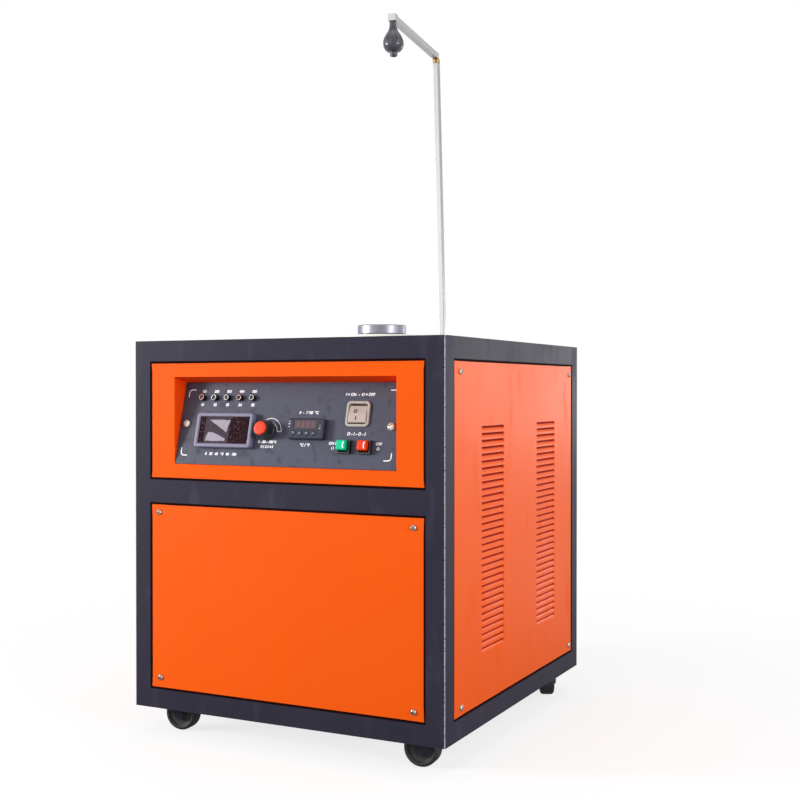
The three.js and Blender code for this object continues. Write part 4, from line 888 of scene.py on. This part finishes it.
# %% Display
display_finish = moulded("display_filter", (0.13, 0.085, 0.105), 0.2, 1e-5, gloss=0.1)
figure_finish = moulded("unlit_figures", (0.22, 0.1, 0.09), 0.3, 1e-5)
DISPLAY = (37.2, 60.1)
pane = [[0.2, 8.22], [0.2, 8.4], [0.9, 8.45], [3, 8.45]]
framed("display_pane", 37, 12.5, 0.6, pane, on_slope(*DISPLAY), display_finish, "cabinet")
bars = [((-1, 2), (1, 2)), ((-1, 0), (1, 0)), ((-1, -2), (1, -2)), ((-1.2, 1.8), (-1.2, 0.2)),
        ((1.2, 1.8), (1.2, 0.2)), ((-1.2, -0.2), (-1.2, -1.8)), ((1.2, -0.2), (1.2, -1.8))]
for figure in range(4):
    for bar, ends in enumerate(bars):
        path = np.array(ends) * (1.25, 1.7) + (-12 + 8 * figure, 0)
        ribbon(f"figure_{figure + 1}_bar_{bar + 1}", path, 0.7, on_slope(*DISPLAY, 8.46),
               figure_finish, "cabinet", 0.02)
for number, (across, up, width, height) in enumerate((
        (11.9, 64, 2.6, 1.2), (11.9, 60.6, 3.2, 2), (11.8, 56.6, 3, 1.4),
        (61, 58.8, 1.4, 1.2), (61, 54.6, 2, 1.8)), 1):
    ribbon(f"controller_mark_{number}", [[-width / 2, 0], [width / 2, 0]], height,
           on_slope(across, up, 9.02), pale_print, "cabinet", 0.03)

# %% [markdown]
# ## Screws
#
# The sheets are held by pan-head screws with a cross recess. The head is a dome over a
# polar grid, and the recess is taken off its height wherever a point lies inside either
# of two crossed bars.


# %% Cross-head screws
def cross_screw(name, where, diameter, finish=screw_steel):
    """With lengths as shares of the head's radius, the height is a dome of (1 - r^2)^0.6
    less a crossed pair of slots with soft edges."""
    share = np.concatenate([np.linspace(0, 0.62, 16), np.linspace(0.66, 1, 8)])[:, None]
    angle = np.linspace(0, 2 * np.pi, 72, endpoint=False)
    x, y = share * np.cos(angle), share * np.sin(angle)

    def slot(along, across):
        length = np.clip((0.64 - np.abs(along)) / 0.1, 0, 1)
        return length * np.clip((0.2 - np.abs(across)) / 0.07, 0, 1)

    level = 0.14 + 0.64 * (1 - share**2) ** 0.6 - 0.54 * np.maximum(slot(x, y), slot(y, x))
    rings = np.stack([x, y, level], -1)
    points = np.concatenate([rings, rings[-1:] * (1, 1, 0), rings[-1:] * 0]) * diameter / 2
    surface(name, placed(points, where), grid_quads(len(points), 72), finish, "cabinet", crease=50)


def wall_screws(wall, origin, out, places):
    """Screws on a wall, each at (along the wall, height) in millimetres from its middle's
    foot, and each turned by an angle of its own."""
    at = frame_of(origin, out, (0, 0, 1))
    for number, place in enumerate(places):
        turn = np.radians(17 + 31 * number + place[1])
        spun = at[2] * np.cos(turn) + at[1] * np.sin(turn)
        centre = placed(np.array([*place, 0]), at)
        cross_screw(f"{wall}_screw_{number + 1}", frame_of(centre, out, spun), 8.6)


front_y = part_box("lower_front_panel")[0][1]
rear_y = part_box("rear_panel")[1][1]
side_low, side_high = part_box("side_panel_right")
side_x, side_y = side_high[0], (side_low[1] + side_high[1]) / 2
wall_screws("front", (0, front_y, 0), (0, -1, 0),
            ((-208.9, 329), (-206.8, 86), (206.5, 327), (206.5, 83.5)))
wall_screws("rear", (0, rear_y, 0), (0, 1, 0), ((-208, 535), (-208, 84), (208, 535), (208, 84)))
wall_screws("right", (side_x, side_y, 0), (1, 0, 0),
            ((-220.9, 533.4), (-218.1, 82), (232, 533.4), (229.4, 82)))
wall_screws("left", (-side_x, side_y, 0), (-1, 0, 0),
            ((-230, 534), (-230, 83), (222, 534), (222, 83)))
for side_name, across in (("left", -168.6), ("right", 166.6)):
    at = on_slope(across, 60.4)
    turned_at = frame_of(at[0], SLOPE_OUT, SLOPE_UP + 0.3 * at[1])
    # The console's screws take the lighter copy of the steel, which is painted light.
    cross_screw(f"console_screw_{side_name}", turned_at, 11.6, painted_light_screw_steel)

# %% [markdown]
# ## Seams
#
# A thin dark strip runs round each sheet, over its edge and the gap beside it. It is
# painted shade: from outside it is the dark line that parts the orange sheet from the black
# bars, in place of the gap's own shadow, and it keeps light out of the gap.

# %% Strips of painted shade over the gaps
# The strips' near-black colour is painted shade over the gaps.
shade_strip = moulded("dark_seal", (0.012, 0.0015, 0.0015), 0.8, gloss=0.04)
STRIP, STRIP_THICKNESS, OVER_GAP = 3.3, 0.25, 0.7
inset = STRIP / 2 - OVER_GAP
share = np.linspace(0, 1, 12, endpoint=False)[:, None]
for name, node, out in (
        ("front", "lower_front_panel", (0, -1, 0)), ("console", "console_fascia", (0, -1, 0)),
        ("rear", "rear_panel", (0, 1, 0)), ("right", "side_panel_right", (1, 0, 0)),
        ("left", "side_panel_left", (-1, 0, 0))):
    low, high = np.array(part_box(node))
    middle = (low + high) / 2 + np.array(out) * (high - low) / 2
    side = (high - low)[abs(out[0])] / 2 / MM - inset
    bottom, top = low[2] / MM + inset, high[2] / MM - inset
    corners = np.array([[-side, bottom], [side, bottom], [side, top], [-side, top]])
    path = corners[:, None] * (1 - share) + np.roll(corners, -1, 0)[:, None] * share
    ribbon(f"{name}_seal", path.reshape(-1, 2), STRIP, frame_of((*middle[:2], 0), out, (0, 0, 1)),
           shade_strip, "cabinet", STRIP_THICKNESS, closed=True)

# %% [markdown]
# ## The well
#
# A white refractory collar stands round the well, the graphite crucible hangs in it, and a
# turned steel lid covers the crucible's rim.

# %% Collar, crucible and lid
well_at = frame_of((*lid_centre[:2], 0), (0, 0, 1), (0, 1, 0))


def heights(node):
    """A node's lowest and highest place in millimetres."""
    return [corner[2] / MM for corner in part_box(node)]


low, top = heights("crucible_sleeve")
board = heights("top_board")[1]
collar = [[0, low], [42, low], [42, board], [66, board], [66, top - 3], [63, top], [35, top],
          [35, low + 8], [0, low + 8]]
turned("refractory_collar", rounded(collar, 1.2), well_at, refractory, "cabinet", 96,
       replaces="crucible_sleeve")
low, top = heights("graphite_crucible")
pot = [[0, low], [30, low], [31, low + 1], [34, top - 8], [34, top], [26, top], [22, low + 12],
       [0, low + 11]]
turned("crucible_pot", rounded(pot, 1), well_at, graphite, "crucible", 72,
       replaces="graphite_crucible")
low, top = heights("crucible_lid")
disc = [[0, low], [23.7, low], [25, low + 1.3], [25, low + 6], [39.15, low + 6],
        [39.15, top - 1.3], [37.85, top], [0, top]]
turned("steel_lid", rounded(disc, 0.6), well_at, lid_steel, "lid", 128,
       replaces="crucible_lid")

# %% [markdown]
# ## The probe arm's bulb
#
# A black moulded bulb hangs from the arm and grips the temperature probe. Its outline is a
# pear. Shallow flutes run down it: a cosine round the piece, strongest on its shoulder,
# and a split collet closes its foot.

# %% Bulb and bush
POST_LEAN = np.radians(1.54)
post_up = np.array([-np.sin(POST_LEAN), 0, np.cos(POST_LEAN)])
ARM_END = np.array([16.846, 32.146, 1103.268]) * MM
bulb_at = frame_of(ARM_END, -post_up, (0, 1, 0))
NECK, LENGTH, WIDEST = 0.8, 49.5, 16.9
shares = [[0, 0], [0.33, 0], [0.33, 0.14], [0.38, 0.21], [0.5, 0.32], [0.68, 0.41], [0.84, 0.5],
          [0.95, 0.59], [1, 0.68], [0.98, 0.8], [0.85, 0.9], [0.62, 0.985], [0.36, 1],
          [0.37, 1.12], [0.31, 1.135], [0.207, 1.135], [0.207, 0.9], [0, 0.9]]
pear = np.array(shares) * (WIDEST, LENGTH) + (0, NECK)


def bulb_flutes(angle, radius, height):
    """Ten flutes whose depth follows a sine from the neck to below the widest place, and a
    collet with four lobes below the foot."""
    share = (height - NECK) / LENGTH
    swell = np.sin(np.pi * np.clip((share - 0.16) / 0.62, 0, 1))
    flute = 0.13 * swell * (1 - np.cos(10 * angle)) / 2
    lobe = 0.16 * np.clip((share - 1.01) / 0.03, 0, 1) * (1 - np.abs(np.cos(2 * angle)) ** 0.4)
    return radius * (1 - flute - lobe * (radius > 4))


turned("probe_bulb", rounded(pear, 1.6, 4), bulb_at, gloss_black, "arm", 120, bulb_flutes,
       replaces="probe_holder")
joints = {joint["name"]: joint for joint in frame["joints"]}
bush_at = frame_of(joints["arm_swing"]["pos_m"], post_up, (0, 1, 0))
bush = [[0, -22.3], [3.6, -22.3], [3.6, -7.3], [6, -7.3], [6.4, -6.9], [6.4, -4.6], [5.9, -4],
        [6.4, -3.4], [6.4, -0.8], [6, -0.3], [2.6, -0.3], [2.6, 5.7], [0, 5.7]]
turned("brass_bush", rounded(bush, 0.3), bush_at, brass, "cabinet", 48,
       replaces="arm_bush")

# %% [markdown]
# ## Caster wheels
#
# Each wheel is a solid black tyre with a dished web and a raised hub. It turns about its
# axle, so its place and the axle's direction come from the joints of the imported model.

# %% Wheels
tyre = [[3.3, -12], [10, -12], [10, -8.2], [17, -8.2], [19.5, -11], [22.3, -11], [25, -8],
        [25, 8], [22.3, 11], [19.5, 11], [17, 8.2], [10, 8.2], [10, 12], [3.3, 12], [3.3, -12]]
for name, joint in joints.items():
    if name.startswith("roll_"):
        corner = name.removeprefix("roll_")
        axle_at = frame_of(joint["pos_m"], joint["axis"], (0, 0, 1))
        turned(f"tyre_{corner}", rounded(tyre, 1.2), axle_at, rubber, joint["child"], 72,
               replaces=f"caster_wheel_{corner}")

# %% [markdown]
# ## Studio
#
# The floor is pale and runs out into a white surround. Near the object it takes a soft
# shadow, and further out it turns into plain white, so no horizon shows. The surround is
# full white to the camera and in reflections, and softer as a source of light.

# %% Floor
floor_mesh = bpy.data.meshes.new("studio_floor")
REACH = 12
corners = [(REACH * x, REACH * y, 0) for x, y in ((-1, -1), (1, -1), (1, 1), (-1, 1))]
floor_mesh.from_pydata(corners, [], [(0, 1, 2, 3)])
floor = added("studio_floor", floor_mesh)
floor.location.z = -0.0004


def ray_is(network, kind):
    return Field(network, network.node("ShaderNodeLightPath").outputs[f"Is {kind} Ray"])


def seen_directly(network):
    """1 where the camera, a mirror or a glass looks, and 0 where light is gathered."""
    looks = [ray_is(network, kind) for kind in ("Camera", "Glossy", "Transmission")]
    return looks[0].over(looks[1]).over(looks[2])


pale = Finish("pale_floor")
x, y, _ = pale.parts(pale.place)
far_share = ((x * x + y * y) ** 0.5).between(0.4, 1.4)
looked_at = seen_directly(pale)
WHITE = (1, 1, 1)
matt = pale.node("ShaderNodeBsdfDiffuse", None, Color=(0.26, 0.26, 0.26))
lift = pale.node("ShaderNodeEmission", None, Color=WHITE,
                 Strength=looked_at * 0.77 - ray_is(pale, "Glossy") * 0.5)
near = pale.node("ShaderNodeAddShader", None, matt.outputs[0], lift.outputs[0])
white = pale.node("ShaderNodeEmission", None, Color=WHITE, Strength=0.5 + looked_at * 0.5)
mixed = pale.node("ShaderNodeMixShader", None, far_share, near.outputs[0], white.outputs[0])
pale.node("ShaderNodeOutputMaterial", None, mixed.outputs[0])
floor_mesh.materials.append(pale.material)


# %% World
class Surround(Finish):
    """The world's network. It has no place on a piece to start from."""

    def __init__(self, name):
        self.world = bpy.data.worlds.new(name)
        self.world.use_nodes = True
        self.tree = self.world.node_tree
        self.tree.nodes.clear()


surround = Surround("white_surround")
bpy.context.scene.world = surround.world
glow = surround.node("ShaderNodeBackground", None, Color=WHITE,
                     Strength=0.36 + seen_directly(surround) * 0.64)
surround.node("ShaderNodeOutputWorld", None, glow.outputs[0])


# %% Lamps
def softbox(name, place, target, width, height, power):
    """A rectangular lamp that faces a target."""
    lamp = bpy.data.lights.new(name, "AREA")
    lamp.shape, lamp.size, lamp.size_y, lamp.energy = "RECTANGLE", width, height, power
    _, across, up, out = frame_of(place, np.subtract(place, target), (0, 0, 1))
    added(name, lamp, across, up, out, place)


softbox("front_softbox", (-1, -3.5, 2.2), (0, 0, 0.4), 3, 2.6, 22)
softbox("key_softbox", (-2.85, -2.05, 0.95), (0, -0.25, 0.42), 0.8, 0.8, 112)
softbox("fill_softbox", (3.2, -1.1, 0.7), (0, -0.27, 0.45), 0.8, 0.8, 34)
softbox("side_softbox", (1.3, 2.9, 0.6), (0.25, 0, 0.45), 1.2, 0.6, 9)
softbox("right_softbox", (3.2, -0.4, 1.6), (0.25, 0, 0.4), 3, 2.8, 33)
softbox("top_softbox", (0.1, 0.2, 2.9), (0, 0, 0.4), 2, 2, 12)
bpy.context.scene.view_settings.view_transform = "Standard"
